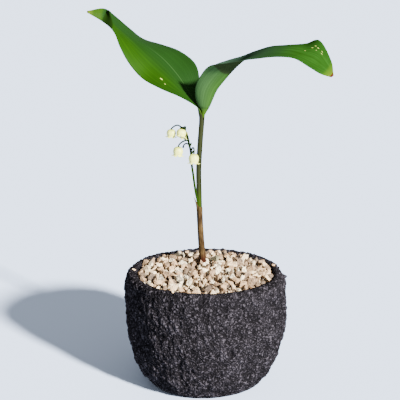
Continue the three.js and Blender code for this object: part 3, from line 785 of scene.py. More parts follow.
# The inner leaf: painted shade on its upper face short of its end, and a painted shadow on its underside near
# the twist.
INNER_LEAF_FINISH = LeafFinish(
    "inner_leaf", gloss=0.0, upper=(0.0143, 0.0555, 0.0072), cool=(0.0175, 0.0365, 0.021), cool_by="blade",
    cool_from=(0.8, 0.55), under=(0.0225, 0.052, 0.016), under_dark=(0.0148, 0.0245, 0.0082),
    under_dark_from=(0.458, 0.472), under_rib_share=0.8, band_strength=0.6, base_end=0.24,
    tip=(0.024, 0.058, 0.003), tip_start=0.93, scorch_start=0.985,
    flecks=(
        (0.455, 0.813, 0.02), (0.636, 0.84, 0.024), (0.727, 0.853, 0.024), (0.682, 0.867, 0.026),
        (0.682, 0.887, 0.02), (0.591, 0.887, 0.022), (0.56, 0.86, 0.015),
    ),
)


@dataclass(frozen=True)
class StemFinish(Finish):
    """Green flower stem, darker at its bracts and towards the top."""

    name: str = "stem"
    rough: float = 0.6
    gloss: float = 0.0
    low: Colour = (0.008, 0.021, 0.0012)
    high: Colour = (0.003, 0.0066, 0.0014)
    high_from: tuple[float, float] = (0.118, 0.15)
    fleck_gain: float = 1.6
    fleck_scale: float = 500
    fleck_from: tuple[float, float] = (0.45, 0.75)

    def paint(self, graph: Graph, place: Signal) -> tuple[Signal, Signal]:
        """A green that darkens upwards.

        Args:
            graph: The material's nodes.
            place: The place on the object.

        Returns:
            The colour, and the flecks, which make no relief.
        """
        flecks = graph.noise(place, self.fleck_scale, 3)
        body = graph.mix(graph.height(place).step(*self.high_from), self.low, self.high)
        return graph.mix(flecks.step(*self.fleck_from), body, scaled(self.high, self.fleck_gain)), flecks


@dataclass(frozen=True)
class SheathFinish(Finish):
    """Dry fibrous scale leaf: tan with dark streaks, red-brown at the foot."""

    name: str = "sheath"
    rough: float = 0.6
    gloss: float = 0.02
    bump_depth: float = 0.4
    tan: Colour = (0.056, 0.0335, 0.0125)
    brown: Colour = (0.012, 0.006, 0.0024)
    foot: Colour = (0.018, 0.0045, 0.002)
    top: Colour = (0.018, 0.015, 0.004)
    fibre_stretch: float = 0.09
    fibre_scale: float = 1500
    blotch_scale: float = 120
    fibre_share: float = 0.7
    blotch_share: float = 0.5
    tan_from: tuple[float, float] = (0.46, 0.78)
    top_from: tuple[float, float] = (0.104, 0.112)
    foot_from: tuple[float, float] = (0.084, 0.078)
    foot_wobble: float = 0.006

    def paint(self, graph: Graph, place: Signal) -> tuple[Signal, Signal]:
        """Long fibres that run up the sheath.

        Args:
            graph: The material's nodes.
            place: The place on the object.

        Returns:
            The colour and the height of the relief.
        """
        stretched = graph.value("ShaderNodeMapping", Vector=place, Scale=(1, 1, self.fibre_stretch))
        fibres = graph.noise(stretched, self.fibre_scale, 4, 0.7)
        tone = fibres * self.fibre_share + graph.noise(place, self.blotch_scale, 3) * self.blotch_share
        height = graph.height(place)
        body = graph.coats(
            graph.mix(tone.step(*self.tan_from), self.brown, self.tan),
            (height.step(*self.top_from), graph.mix(0.5, self.top, self.tan)),
            ((height + fibres * self.foot_wobble).step(*self.foot_from), self.foot),
        )
        return body, fibres


@dataclass(frozen=True)
class BellFinish(Finish):
    """Waxy cream petals, greener at the crown and peach where they age."""

    name: str = "bell"
    rough: float = 0.45
    bump_depth: float = 0.3
    wax: float = 0.25
    cream: Colour = (0.56, 0.57, 0.11)
    crown: Colour = (0.3, 0.34, 0.045)
    crown_from: tuple[float, float] = (0.4, 0.02)
    aged: Colour = (0.5, 0.37, 0.09)
    aged_from: tuple[float, float] = (0.55, 0.8)
    mottle_scale: float = 420

    def paint(self, graph: Graph, place: Signal) -> tuple[Signal, Signal]:
        """Cream with a faint mottle.

        Args:
            graph: The material's nodes.
            place: The place on the object.

        Returns:
            The colour and the height of the relief.
        """
        mottle = graph.noise(place, self.mottle_scale, 3)
        body = graph.mix(graph.attribute("along").step(*self.crown_from), self.cream, self.crown)
        return graph.mix(mottle.step(*self.aged_from), body, self.aged), mottle


@dataclass(frozen=True)
class EarthFinish(Finish):
    """Crumbly matter: the soil, and the skin of the rhizome in it."""

    name: str = "earth"
    rough: float = 0.95
    bump_depth: float = 1.2
    dark: Colour = (0.02, 0.012, 0.007)
    light: Colour = (0.09, 0.055, 0.03)
    crumb_scale: float = 350
    crumb_levels: tuple[float, float] = (0.35, 0.7)

    def paint(self, graph: Graph, place: Signal) -> tuple[Signal, Signal]:
        """Coarse crumbs of two browns.

        Args:
            graph: The material's nodes.
            place: The place on the object.

        Returns:
            The colour and the height of the relief.
        """
        crumbs = graph.noise(place, self.crumb_scale, 6, 0.7)
        stops = list(zip(self.crumb_levels, (self.dark, self.light)))
        return graph.ramp(crumbs, stops), crumbs


# ---- Pot ----


@dataclass
class Pot:
    """The hand-formed stoneware pot."""

    outside: tuple[tuple[float, float], ...] = (
        (31.5, 0), (36, 2.2), (39.2, 6), (42.4, 10), (44.8, 15), (46.4, 20), (47.8, 25), (49, 30), (49.8, 35),
        (50.3, 40), (50.6, 45), (50.6, 50), (50.5, 55), (50.2, 60), (49.8, 65.2), (48.9, 68.8), (46.6, 70.9),
        (44, 70.8), (41.6, 68.6),
    )
    inside: tuple[tuple[float, float], ...] = ((41, 64), (41, 45), (39.6, 30), (36, 18), (30, 10), (0.5, 9))
    foot_middle: tuple[float, float] = (0.5, 0)
    # The potter's marks: degrees round the pot, height, depth outwards, and half width and height.
    marks: tuple[tuple[float, float, float, float, float], ...] = (
        (-141, 43, -1.6, 7, 16), (-118, 22, -1.1, 9, 9), (-62, 36, 0.9, 12, 8), (180, 42, -1.3, 24, 34),
        (180, 60, 0.9, 7, 5), (6, 69, -1.1, 9, 4.5), (0, 67, 2.3, 1.5, 1.2), (-3, 63.5, 1.1, 1.3, 1),
        (180, 54, 0.9, 1.3, 1.3), (50, 30, -1.2, 10, 12), (118, 46, 1, 12, 9),
    )
    sides: int = 560
    ring_step: float = 0.65
    girth: float = 50
    relief_depth: float = 0.9
    relief_spacing: float = 11
    grain_depth: float = 0.35
    grain_spacing: float = 3.1
    clay_depth: float = 0.85
    clay_level: float = 0.6
    clay_drag: float = 0.8
    smooth_foot: float = 6
    fade_rings: float = 4
    lip_wave: float = 0.7
    lip_tilt: float = 0.5
    lip_waves_round: float = 2.6
    lip_phase: float = 0.7
    lip_reach: float = 3
    lip_top: float = 69
    lip_grain: float = 0.5
    # The clay's grain: the stretch in height, the shift and the spacing of each layer, then the shares
    # of the crumbs, the lumps among them, the fine grain and the tears.
    clay_layers: tuple[Point, ...] = ((0.8, 0, 2.3), (0.8, 20, 4.1), (0.9, 40, 1.4), (0.55, 90, 3.4))
    clay_shares: tuple[float, ...] = (1.3, 0.4, 1.1, 1.5)
    clay_base: float = 0.9
    tear_level: float = 0.4
    # The depth kept for the finish, which paints the pits darker as shade: its base and its gain on the
    # grain.
    pit_levels: tuple[float, float] = (0.45, 0.55)
    box_gap: float = 0.05
    drain_holes: int = 3
    drain_radius: float = 2.5
    drain_circle: float = 13
    drain_middle: float = 4.5
    drain_length: float = 20
    drain_sides: int = 24
    finish: Finish = field(default_factory=StonewareFinish)

    @property
    def lip_start(self) -> float:
        """The height at which the lip begins."""
        return self.outside[-5][1]

    def profile(self) -> np.ndarray:
        """The outside from foot to inner lip.

        Returns:
            Radius and height at even steps, one point to a row.
        """
        line = catmull_rom(self.outside, np.linspace(0, 1, 800))
        line[:, 1] = np.maximum(line[:, 1], 0)
        lengths = np.concatenate([[0], np.cumsum(np.hypot(*np.diff(line, axis=0).T))])
        even = np.linspace(0, lengths[-1], int(lengths[-1] / self.ring_step))
        return np.stack([np.interp(even, lengths, line[:, 0]), np.interp(even, lengths, line[:, 1])], 1)

    def wall_shift(self, angle: np.ndarray, height: np.ndarray) -> np.ndarray:
        """How far the potter's hands moved the wall.

        Args:
            angle: The angle of each place round the pot, in radians.
            height: Its height in millimetres.

        Returns:
            The way outwards in millimetres.
        """
        place = round_points(self.girth, angle, height)
        shift = self.relief_depth * relief(place, self.relief_spacing)
        shift += self.grain_depth * relief(place, self.grain_spacing)
        for mark_angle, mark_height, depth, width, tall in self.marks:
            turn = (angle - math.radians(mark_angle) + math.pi) % FULL_TURN - math.pi
            aside, above = (turn * self.girth / width) ** 2, ((height - mark_height) / tall) ** 2
            shift += depth * np.exp(-aside - above)
        return shift

    def clay_grain(self, places: np.ndarray) -> np.ndarray:
        """The coarse grain of the clay, dragged a little upwards to the right.

        Args:
            places: Points in millimetres, one to a row.

        Returns:
            The grain from about -1 to 1.
        """
        dragged = places.copy()
        dragged[:, 2] += self.clay_drag * (np.arctan2(places[:, 1], places[:, 0]) * self.girth)
        crumbs, lumps, fine, tears = (
            relief(dragged * (1, 1, stretch) + shift, spacing) for stretch, shift, spacing in self.clay_layers
        )
        of_crumbs, of_lumps, of_fine, of_tears = self.clay_shares
        coarse = np.abs(crumbs) + of_lumps * lumps
        torn = np.clip(tears - self.tear_level, 0, 1)
        return of_crumbs * coarse + of_fine * np.abs(fine) - self.clay_base - of_tears * torn

    def lip_lift(self, angle: np.ndarray, height: np.ndarray) -> np.ndarray:
        """How far the uneven lip rises.

        Args:
            angle: The angle of each place round the pot, in radians.
            height: Its height in millimetres.

        Returns:
            The way up in millimetres.
        """
        place = round_points(self.lip_waves_round, angle, self.lip_phase)
        lift = self.lip_wave * relief(place, 1) - self.lip_tilt * np.sin(angle)
        return smooth_step(self.lip_start - self.lip_reach, self.lip_top, height) * lift

    def build(self) -> None:
        """Makes the pot with its drain holes and puts it on the frame."""
        outer = self.profile()
        rings = np.vstack([self.foot_middle, outer, self.inside])
        angle = np.tile(ring_angles(self.sides), len(rings))
        radius, height = np.repeat(rings, self.sides, axis=0).T
        ring = np.repeat(np.arange(len(rings)), self.sides)
        worked = (ring > 1) & (ring <= len(outer))
        fade = np.where(worked, np.clip(height / self.smooth_foot, 0, 1), 0)
        fade *= np.clip((len(outer) - ring) / self.fade_rings, 0, 1)
        grain = self.clay_grain(round_points(radius, angle, height))
        moved = radius + fade * (self.wall_shift(angle, height) + self.clay_depth * (grain - self.clay_level))
        reached = worked & (height > self.lip_start - self.lip_reach)
        raised = height + np.where(reached, self.lip_lift(angle, height), 0)
        crumbled = worked & (height > self.lip_start)
        raised += np.where(crumbled, self.lip_grain * self.clay_depth * grain, 0) * fade
        low, high = (np.array(corner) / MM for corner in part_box("pot"))
        gap = self.box_gap
        points = np.clip(round_points(moved, angle, raised), low + (gap, gap, 0), high - (gap, gap, gap))
        made = new_object("stoneware_pot", points, tube_faces(len(rings), self.sides))
        # The kept depth paints the pits darker in the finish: painted shade.
        base, gain = self.pit_levels
        store(made, "depth", np.clip(base + gain * grain, 0, 1))
        made.data.materials.append(self.finish.build())
        self.drill(made)
        enlist(made, "stoneware", "pot")

    def drill(self, made: bpy.types.Object) -> None:
        """Cuts the drain holes through the floor.

        Args:
            made: The pot.
        """
        drill = bmesh.new()
        reach, radius = self.drain_circle * MM, self.drain_radius * MM
        for hole in range(self.drain_holes):
            angle = FULL_TURN * hole / self.drain_holes + math.pi / 6
            centre = (reach * math.cos(angle), reach * math.sin(angle), self.drain_middle * MM)
            bmesh.ops.create_cone(
                drill, cap_ends=True, segments=self.drain_sides, radius1=radius, radius2=radius,
                depth=self.drain_length * MM, matrix=Matrix.Translation(centre),
            )
        mesh = bpy.data.meshes.new("drill")
        drill.to_mesh(mesh)
        drill.free()
        cutter = link(bpy.data.objects.new("drill", mesh))
        cut = made.modifiers.new("drain", "BOOLEAN")
        cut.object, cut.operation, cut.solver = cutter, "DIFFERENCE", "EXACT"
        plain_mesh(made)
        bpy.data.objects.remove(cutter)


# ---- Gravel ----


@dataclass
class Gravel:
    """The top dressing of angular grit, with one olive pebble and a few grains on the lip."""

    radius: float = 40.1
    edge_height: float = 69.3
    middle_height: float = 72.2
    hole: float = 3.1
    sides: int = 96
    rings: int = 30
    kinds: int = 14
    corners: int = 10
    boxiness: float = 0.6
    corner_reach: tuple[float, float] = (0.82, 1.05)
    slimmest: Point = (0.95, 0.6, 0.45)
    stoutest: Point = (1.2, 0.95, 0.75)
    spacing: float = 4.1
    filler_spacing: float = 2.9
    smallest: float = 3.4
    largest: float = 7.8
    # Each layer of stones: the input that spaces it, its height over the bed, its share of full size.
    layers: tuple[tuple[str, float, float], ...] = (
        ("Spacing", 0.3, 1.0), ("Filler Spacing", -1.3, 0.5), ("Filler Spacing", -3.2, 0.7),
    )
    uneven: float = 0.6
    # What each random draw of a layer adds to the layer's seed.
    turn_seed: int = 10
    size_seed: int = 20
    tint_seed: int = 30
    lift_seed: int = 40
    density: float = 3.0e6
    seed: int = 11
    pebble: tuple[Point, float] = ((5.4, 10.6, 75.2), 8.2)
    stray_tints: tuple[float, float] = (0.3, 0.9)
    strays: tuple[tuple[Point, float], ...] = (
        ((-44, -0.9, 71.8), 2.6), ((-19.3, -42.4, 72), 2.2), ((42.5, 8.5, 71.8), 2.8),
    )
    # Tints past the palette's 0 to 1, which the finish gives their own colours; the filler's gets the dark
    # painted shade of the gaps.
    pebble_tint: float = 2.0
    filler_tint: float = -1.0
    filler_depth: float = 3.2
    filler_foot: float = 58.4
    filler_rings: tuple[float, ...] = (1, 0.75, 0.5, 0.25, 0)
    hole_height: float = 74
    filler_hole_height: float = 66
    finish: Finish = field(default_factory=GravelFinish)

    def bed_height(self, radius: np.ndarray) -> np.ndarray:
        """The height of the bed at a distance from its middle."""
        return self.middle_height + (self.edge_height - self.middle_height) * (radius / self.radius) ** 2

    def bed(self) -> bpy.types.Object:
        """The surface that the stones lie on, open round the shoot.

        Returns:
            The surface.
        """
        share = np.linspace(0, 1, self.rings)
        angles = ring_angles(self.sides)
        foot = shoot_at(np.array([self.hole_height]))[0]
        outer = round_points(self.radius, angles, 0)[:, :2]
        inner = round_points(self.hole, angles, 0)[:, :2] + foot[:2]
        flat = (outer[None] + (inner - outer)[None] * share[:, None, None]).reshape(-1, 2)
        height = self.bed_height(np.hypot(flat[:, 0], flat[:, 1]))
        faces = grid_faces(self.rings, self.sides, wrap=True)
        return new_object("gravel_stones", np.column_stack([flat, height]), faces, smooth=False)

    def stone(self, name: str, random: np.random.Generator, size: float = 1000) -> bpy.types.Object:
        """One angular stone, the hull of a few seeded corners.

        Args:
            name: The object's name.
            random: Where its shape comes from.
            size: Its length in millimetres.

        Returns:
            The stone at the origin.
        """
        directions = unit(random.normal(size=(self.corners, 3)))
        boxy = np.sign(directions) * np.abs(directions) ** self.boxiness
        points = boxy * random.uniform(*self.corner_reach, (self.corners, 1))
        points = points * random.uniform(self.slimmest, self.stoutest)
        work = bmesh.new()
        for point in points * size * MM * 0.5:
            work.verts.new(point)
        hull = bmesh.ops.convex_hull(work, input=work.verts)
        hidden = [part for part in hull["geom_interior"] if isinstance(part, bmesh.types.BMVert)]
        bmesh.ops.delete(work, geom=hidden, context="VERTS")
        mesh = bpy.data.meshes.new(name)
        work.to_mesh(mesh)
        work.free()
        return bpy.data.objects.new(name, mesh)

    def tree(self, kinds: bpy.types.Collection, material: bpy.types.Material) -> bpy.types.NodeTree:
        """Scatters the kinds of stone over a surface in layers.

        Args:
            kinds: The stones to choose from, 1 m long.
            material: What they are made of.

        Returns:
            The Geometry Nodes tree.
        """
        graph, given = Graph.geometry(
            "scatter stones", Spacing="Float", Filler_Spacing="Float", Smallest="Float", Largest="Float",
            Seed="Int",
        )
        chosen = graph.add(
            "GeometryNodeCollectionInfo", Collection=kinds, Separate_Children=True, Reset_Children=True,
        )
        joined = graph.add("GeometryNodeJoinGeometry")
        layers = [
            self.layer(graph, given, chosen, graph.math("ADD", given["Seed"], number), *layer)
            for number, layer in enumerate(self.layers)
        ]
        for layer in layers:
            graph.tree.links.new(layer.outputs[0], joined.inputs[0])
        return graph.finish(joined, material)

    def layer(
        self, graph: Graph, given: Any, chosen: bpy.types.Node, seed: Signal,
        spacing: str, rise: float, share: float,
    ) -> bpy.types.Node:
        """One layer of scattered stones.

        Args:
            graph: The tree's nodes.
            given: The tree's inputs.
            chosen: The node that gives the kinds of stone.
            seed: The layer's seed.
            spacing: The input that spaces the stones.
            rise: Their height over the bed in millimetres.
            share: Their share of the full size.

        Returns:
            The layer's last node.
        """

        def chance(offset: int, low: Any = 0.0, high: Any = 1.0) -> Signal:
            """A random number for each stone."""
            kind = "FunctionNodeRandomValue"
            return graph.value(kind, {"data_type": "FLOAT"}, 1, in2=low, in3=high, Seed=seed + offset)

        points = graph.add(
            "GeometryNodeDistributePointsOnFaces", {"distribute_method": "POISSON"}, Mesh=given["Geometry"],
            Distance_Min=given[spacing], Density_Max=self.density, Seed=seed,
        )
        uneven = self.uneven * MM
        lift = chance(self.lift_seed, rise * MM - uneven, rise * MM + uneven)
        way = graph.add("ShaderNodeCombineXYZ", Z=lift)
        sunk = graph.add("GeometryNodeSetPosition", Geometry=points, Offset=way)
        turn = graph.add(
            "FunctionNodeRandomValue", {"data_type": "FLOAT_VECTOR"}, in1=(FULL_TURN,) * 3,
            Seed=seed + self.turn_seed,
        )
        smallest, largest = (graph.math("MULTIPLY", given[name], share) for name in ("Smallest", "Largest"))
        placed = graph.add(
            "GeometryNodeInstanceOnPoints", Points=sunk, Instance=chosen, Pick_Instance=True, Rotation=turn,
            Scale=chance(self.size_seed, smallest, largest),
        )
        return graph.add(
            "GeometryNodeStoreNamedAttribute", {"data_type": "FLOAT", "domain": "INSTANCE"}, Geometry=placed,
            Name="tint", Value=chance(self.tint_seed),
        )

    def loose(self, random: np.random.Generator, material: bpy.types.Material) -> list[bpy.types.Object]:
        """The olive pebble and the grains that lie on the lip.

        Args:
            random: Where their shapes and tints come from.
            material: What they are made of.

        Returns:
            The pebble first, then the grains.
        """
        made = []
        for number, (place, size) in enumerate((self.pebble, *self.strays)):
            grain = link(self.stone(f"loose_{number}", random, size))
            grain.data.transform(Matrix.Translation(Vector(place) * MM))
            grain.data.materials.append(material)
            tint = random.uniform(*self.stray_tints) if number else self.pebble_tint
            store(grain, "tint", np.full(len(grain.data.vertices), tint))
            made.append(grain)
        return made

    def filler(self, material: bpy.types.Material) -> bpy.types.Object:
        """The body of the bed under the stones, open round the shoot, painted dark as the shade in the gaps
        between them.

        Args:
            material: What it is made of.

        Returns:
            The body.
        """
        profile = [(0, self.filler_foot), (1, self.filler_foot)]
        for share in self.filler_rings:
            profile.append((share, float(self.bed_height(np.array(share * self.radius))) - self.filler_depth))
        foot = shoot_at(np.array([self.filler_hole_height]))[0] * (1, 1, 0)
        rings = [
            round_points(self.hole + (self.radius - self.hole) * share, ring_angles(self.sides), height)
            + foot * (1 - share)
            for share, height in profile
        ]
        faces = grid_faces(len(profile), self.sides, wrap=True, loop=True)
        made = new_object("bed_filler", np.concatenate(rings), faces)
        store(made, "tint", np.full(len(profile) * self.sides, self.filler_tint))
        made.data.materials.append(material)
        return made

    def build(self) -> None:
        """Scatters the stones and puts the bed on the frame."""
        random = np.random.default_rng(self.seed)
        material = self.finish.build()
        kinds = bpy.data.collections.new("kinds of stone")
        for number in range(self.kinds):
            kinds.objects.link(self.stone(f"kind_{number}", random))
        made = self.bed()
        run_tree(made, self.tree(kinds, material), {
            "Spacing": self.spacing * MM, "Filler Spacing": self.filler_spacing * MM,
            "Smallest": self.smallest * MM, "Largest": self.largest * MM, "Seed": self.seed,
        })
        join(made, [*self.loose(random, material), self.filler(material)])
        for kind in list(kinds.objects):
            bpy.data.objects.remove(kind)
        bpy.data.collections.remove(kinds)
        enlist(made, "gravel", "gravel")


# ---- Leaves ----


def arc_sections(
    near: np.ndarray, rib: np.ndarray, far: np.ndarray, across: int, crease: float,
) -> np.ndarray:
    """Cross-sections that bend round from the near margin through the midrib to the far margin.

    Args:
        near: The near margin, one point to a row.
        rib: The midrib.
        far: The far margin.
        across: Steps from margin to margin, an even number.
        crease: How far the round section is drawn to a straight fold at the midrib, from 0 to 1.

    Returns:
        An array of rows by points across by three.
    """
    a, b = near - rib, far - rib
    axis = np.cross(a, b)
    centre = np.cross(b * dot(a, a) - a * dot(b, b), axis) / (2 * dot(axis, axis))
    radius = np.sqrt(dot(centre, centre))
    up = -centre / radius
    side = b - up * dot(b, up)
    side /= np.sqrt(dot(side, side))

    def angle_of(arm: np.ndarray) -> np.ndarray:
        """The angle of an arm of the section round its centre."""
        return np.arctan2(dot(arm - centre, side), dot(arm - centre, up))

    start, end = angle_of(a), angle_of(b)
    start, end = np.where(start > 0, start - FULL_TURN, start), np.where(end < 0, end + FULL_TURN, end)
    v = np.linspace(-1, 1, across + 1)[None, :]
    angle = np.where(v < 0, -start * v, end * v)[..., None]
    spoke = np.cos(angle) * up[:, None] + np.sin(angle) * side[:, None]
    turned = rib[:, None] + centre[:, None] + radius[:, None] * spoke
    share = np.abs(v)[..., None]
    folded = rib[:, None] + np.where(v[..., None] < 0, a[:, None], b[:, None]) * share
    return turned + (folded - turned) * crease


def sheet_normals(middle: np.ndarray) -> np.ndarray:
    """The unit normal at each point of a sheet of rows by points across."""
    return unit(np.cross(np.gradient(middle, axis=1), np.gradient(middle, axis=0)))


@dataclass(frozen=True)
class Pleat:
    """A fold near a leaf's tip: the sheet rises to a ridge and drops steeply to a valley past it."""

    ridge: tuple[float, float] = (0.755, 0.838)
    valley: tuple[float, float] = (0.895, 0.872)
    depth: float = 6.0
    direction: Point = (0, 0.965, -0.26)
    rise_share: float = 0.3
    rise_length: float = 0.04
    foot: float = 0.25

    def offset(self, blade: np.ndarray, across: np.ndarray) -> np.ndarray:
        """How far the sheet moves back at each place.

        Args:
            blade: Places along the blade, from 0 to 1.
            across: Places across it, from -1 to 1.

        Returns:
            The way along the fold's direction in millimetres.
        """
        share = 0.5 + 0.5 * across
        ridge = self.ridge[0] + (self.ridge[1] - self.ridge[0]) * share
        valley = self.valley[0] + (self.valley[1] - self.valley[0]) * share
        fall = self.depth * smooth_step(0.0, 1.0, (blade - ridge) / (valley - ridge))
        rise = self.rise_share * self.depth * np.exp(np.minimum(blade - ridge, 0) / self.rise_length)
        return fall - rise * smooth_step(0.0, self.foot, ridge - blade + self.foot)


@dataclass
class Leaf:
    """One leaf with its stalk: a thin sheet through given cross-sections."""

    name: str
    node: str
    stations: tuple[tuple[Point, Point, Point], ...]
    finish: Finish
    rolled: bool = False
    first_face: Side = Side.UPPER
    crease: float = 0.4
    thickness: float = 0.42
    margin: float = 0.22
    stalk_thickness: float = 0.58
    # Where along the blade it thins from the stalk, and where the fold at its midrib sets in.
    thinning: tuple[float, float] = (-0.02, 0.1)
    folding: tuple[float, float] = (0.0, 0.15)
    wave: float = 0.35
    wave_length: float = 13
    wave_start: tuple[float, float] = (0.1, 0.4)
    wave_end: tuple[float, float] = (1.02, 0.8)
    pleat: Pleat | None = None
    across: int = 44
    rows_per_station: int = 10
    roll_radius: float = 1.34
    roll_heights: tuple[float, ...] = (57, 72, 87, 102, 117, 132, 147, 162)
    keel_angle: float = 155
    half_turn: float = 150
    stalk_shift: float = 0.5
    rod_radius: float = 0.46
    rod_span: tuple[float, float] = (57, 165)
    rod_points: int = 40

    def rolled_sections(self) -> list[np.ndarray]:
        """The sections of a stalk that is rolled into a tube round the shoot's axis.

        Returns:
            The near margin, the midrib and the far margin at each height.
        """
        angles = np.radians([self.keel_angle - turn * self.half_turn for turn in (-1, 0, 1)])
        centres = shoot_at(np.array(self.roll_heights, float)) + (0, self.stalk_shift, 0)
        return [centre + round_points(self.roll_radius, angles, 0) for centre in centres]

    def middle_sheet(self) -> tuple[np.ndarray, np.ndarray, np.ndarray]:
        """The sheet midway between the leaf's faces.

        Returns:
            Its points by rows and places across, each row's place along the blade, and along the whole.
        """
        rolled = self.rolled_sections() if self.rolled else []
        stations = np.array([*rolled, *self.stations], float)
        rows = (len(stations) - 1) * self.rows_per_station + 1
        shares = np.linspace(0, 1, rows)
        near, rib, far = (catmull_rom(stations[:, k], shares) for k in range(3))
        start = len(rolled) / (len(stations) - 1)
        blade = (shares - start) / (1 - start)
        opened = smooth_step(*self.folding, blade)[:, None, None]
        middle = arc_sections(near, rib, far, self.across, 0)
        middle += (arc_sections(near, rib, far, self.across, self.crease) - middle) * opened
        wave = self.wave * relief(middle.reshape(-1, 3), self.wave_length).reshape(middle.shape[:2])
        lift = wave * smooth_step(*self.wave_start, blade)[:, None]
        lift = lift * smooth_step(*self.wave_end, blade)[:, None]
        middle += sheet_normals(middle) * lift[..., None]
        if self.pleat:
            v = np.linspace(-1, 1, self.across + 1)
            middle += self.pleat.offset(blade[:, None], v[None, :])[..., None] * self.pleat.direction
        return middle, blade, shares

    def sheet(self) -> bpy.types.Object:
        """The leaf's two faces and its margin.

        Returns:
            The leaf, without its material.
        """
        middle, blade, shares = self.middle_sheet()
        rows, v = len(middle), np.linspace(-1, 1, self.across + 1)
        normal = sheet_normals(middle)
        thinned = smooth_step(*self.thinning, blade)
        full = self.stalk_thickness + (self.thickness - self.stalk_thickness) * thinned
        rim = self.stalk_thickness + (self.margin - self.stalk_thickness) * thinned
        half = 0.5 * (rim[:, None] + (full - rim)[:, None] * (1 - v[None, :] ** 2))
        upper, under = middle + normal * half[..., None], middle - normal * half[..., None]
        rings = np.concatenate([upper, under[:, ::-1]], axis=1)
        columns = rings.shape[1]
        faces = grid_faces(rows, columns, wrap=True)
        last = (rows - 1) * columns
        for j in range(self.across):
            faces.append((j + 1, j, columns - 1 - j, columns - 2 - j))
            faces.append((last + j, last + j + 1, last + columns - 2 - j, last + columns - 1 - j))
        made = new_object(self.name, rings.reshape(-1, 3), faces)
        store(made, "across", np.tile(np.concatenate([v, v[::-1]]), rows))
        store(made, "along", np.repeat(shares, columns))
        store(made, "blade", np.repeat(blade, columns))
        first = self.first_face.value
        store(made, "side", np.tile(np.repeat([first, 1 - first], self.across + 1), rows))
        return made

    def stalk_rod(self) -> bpy.types.Object:
        """The inner petiole, a round stalk inside the outer one.

        Returns:
            The stalk, with the attributes that its leaf's finish reads.
        """
        line = shoot_at(np.linspace(*self.rod_span, self.rod_points)) + (0, self.stalk_shift, 0)
        made = Tubes("inner_stalk", sides=12).build([(line, np.full(self.rod_points, self.rod_radius))], None)
        for name, value in (("across", 0.0), ("along", 0.0), ("blade", -0.1), ("side", 0.0)):
            store(made, name, np.full(len(made.data.vertices), value))
        return made

    def build(self) -> None:
        """Makes the leaf and puts it on the frame."""
        made = self.sheet()
        if not self.rolled:
            join(made, [self.stalk_rod()])
        made.data.materials.clear()
        made.data.materials.append(self.finish.build())
        enlist(made, self.node, self.node)


# The near margin, the midrib and the far margin at each station, from the stalk to the tip.
OUTER_BLADE: tuple[tuple[Point, Point, Point], ...] = (
    ((-2.4, 8.6, 167.5), (-4.1, 10.8, 167.5), (-0.7, 12, 167.5)),
    ((-5.6, 7.5, 172), (-5.4, 11.6, 172.8), (-2, 14, 174)),
    ((-15.4, 6.9, 177.9), (-10.2, 15.5, 179.4), (-3, 18.6, 182.6)),
    ((-27.7, 10, 182.6), (-16.6, 21, 188.5), (-5.7, 25.8, 194.4)),
    ((-38.4, 15.5, 187.9), (-25.1, 27, 197.2), (-14.7, 35, 201)),
    ((-46.5, 18.5, 196.9), (-34.3, 32, 203.8), (-27.2, 42, 204.8)),
    ((-51.7, 22, 206), (-42.1, 36, 208.5), (-38.6, 44.8, 208.2)),
    ((-54.6, 26.5, 212.5), (-49.8, 37.8, 213.4), (-47.3, 44.8, 214.5)),
    ((-58.4, 30.8, 216.7), (-56.9, 37.4, 219.3), (-56.8, 42.4, 223)),
    ((-64.1, 32.9, 221.2), (-63.5, 36, 224.9), (-62.7, 39.4, 227.9)),
    ((-72.5, 31.4, 226.4), (-72.6, 32, 226.8), (-72.7, 32.6, 227.2)),
)
INNER_BLADE: tuple[tuple[Point, Point, Point], ...] = (
    ((-2.4, 10.2, 163.5), (-2.1, 10.5, 163.5), (-2.4, 10.8, 163.5)),
    ((-2.2, 9.3, 168), (0.3, 9.9, 168), (-1.9, 11.2, 168)),
    ((-3, 8.7, 170.7), (1.6, 9.2, 170.2), (-2.3, 11.8, 170.9)),
    ((-4.6, 8.4, 173), (2.6, 8.6, 172.2), (-2.8, 12.5, 173.6)),
    ((-6.1, 7.5, 178.2), (4.3, 7.6, 176.3), (-2.9, 14.2, 179.4)),
    ((-5.8, 5.4, 185), (6.9, 6, 182.3), (-1.6, 16, 186.4)),
    ((-2.1, 0.2, 193.2), (10.6, 4.6, 187.8), (3.6, 17.6, 194.4)),
    ((2.4, -5.7, 198.3), (14.6, 2.6, 193.1), (13, 18, 198.5)),
    ((9.4, -12.4, 200.7), (19.2, 0, 198.2), (22.6, 15.8, 201.4)),
    ((18.5, -18, 202.9), (25, -3, 202.6), (29.9, 12.8, 204.6)),
    ((28.8, -21, 204.6), (33.8, -6, 205.6), (38.5, 9.3, 208)),
    ((39.5, -23.4, 205.9), (44, -9, 206.9), (48.1, 5.4, 209)),
    ((49.7, -24.3, 205.2), (53.6, -12, 205.4), (58.7, 1.2, 210.3)),
    ((57.7, -24.6, 200.8), (62.1, -15, 201.6), (66, -5.6, 213.2)),
    ((64.9, -23.6, 196.5), (68.2, -18, 197.8), (72.2, -12, 202.6)),
    ((71.6, -20.6, 194), (72.4, -20, 194.4), (73.1, -19.4, 195)),
)


LEAVES: tuple[Leaf, ...] = (
    Leaf("outer_leaf_green", "outer_leaf", OUTER_BLADE, OUTER_LEAF_FINISH, rolled=True, pleat=Pleat()),
    Leaf("inner_leaf_green", "inner_leaf", INNER_BLADE, INNER_LEAF_FINISH, first_face=Side.UNDER),
)


# ---- Stems ----


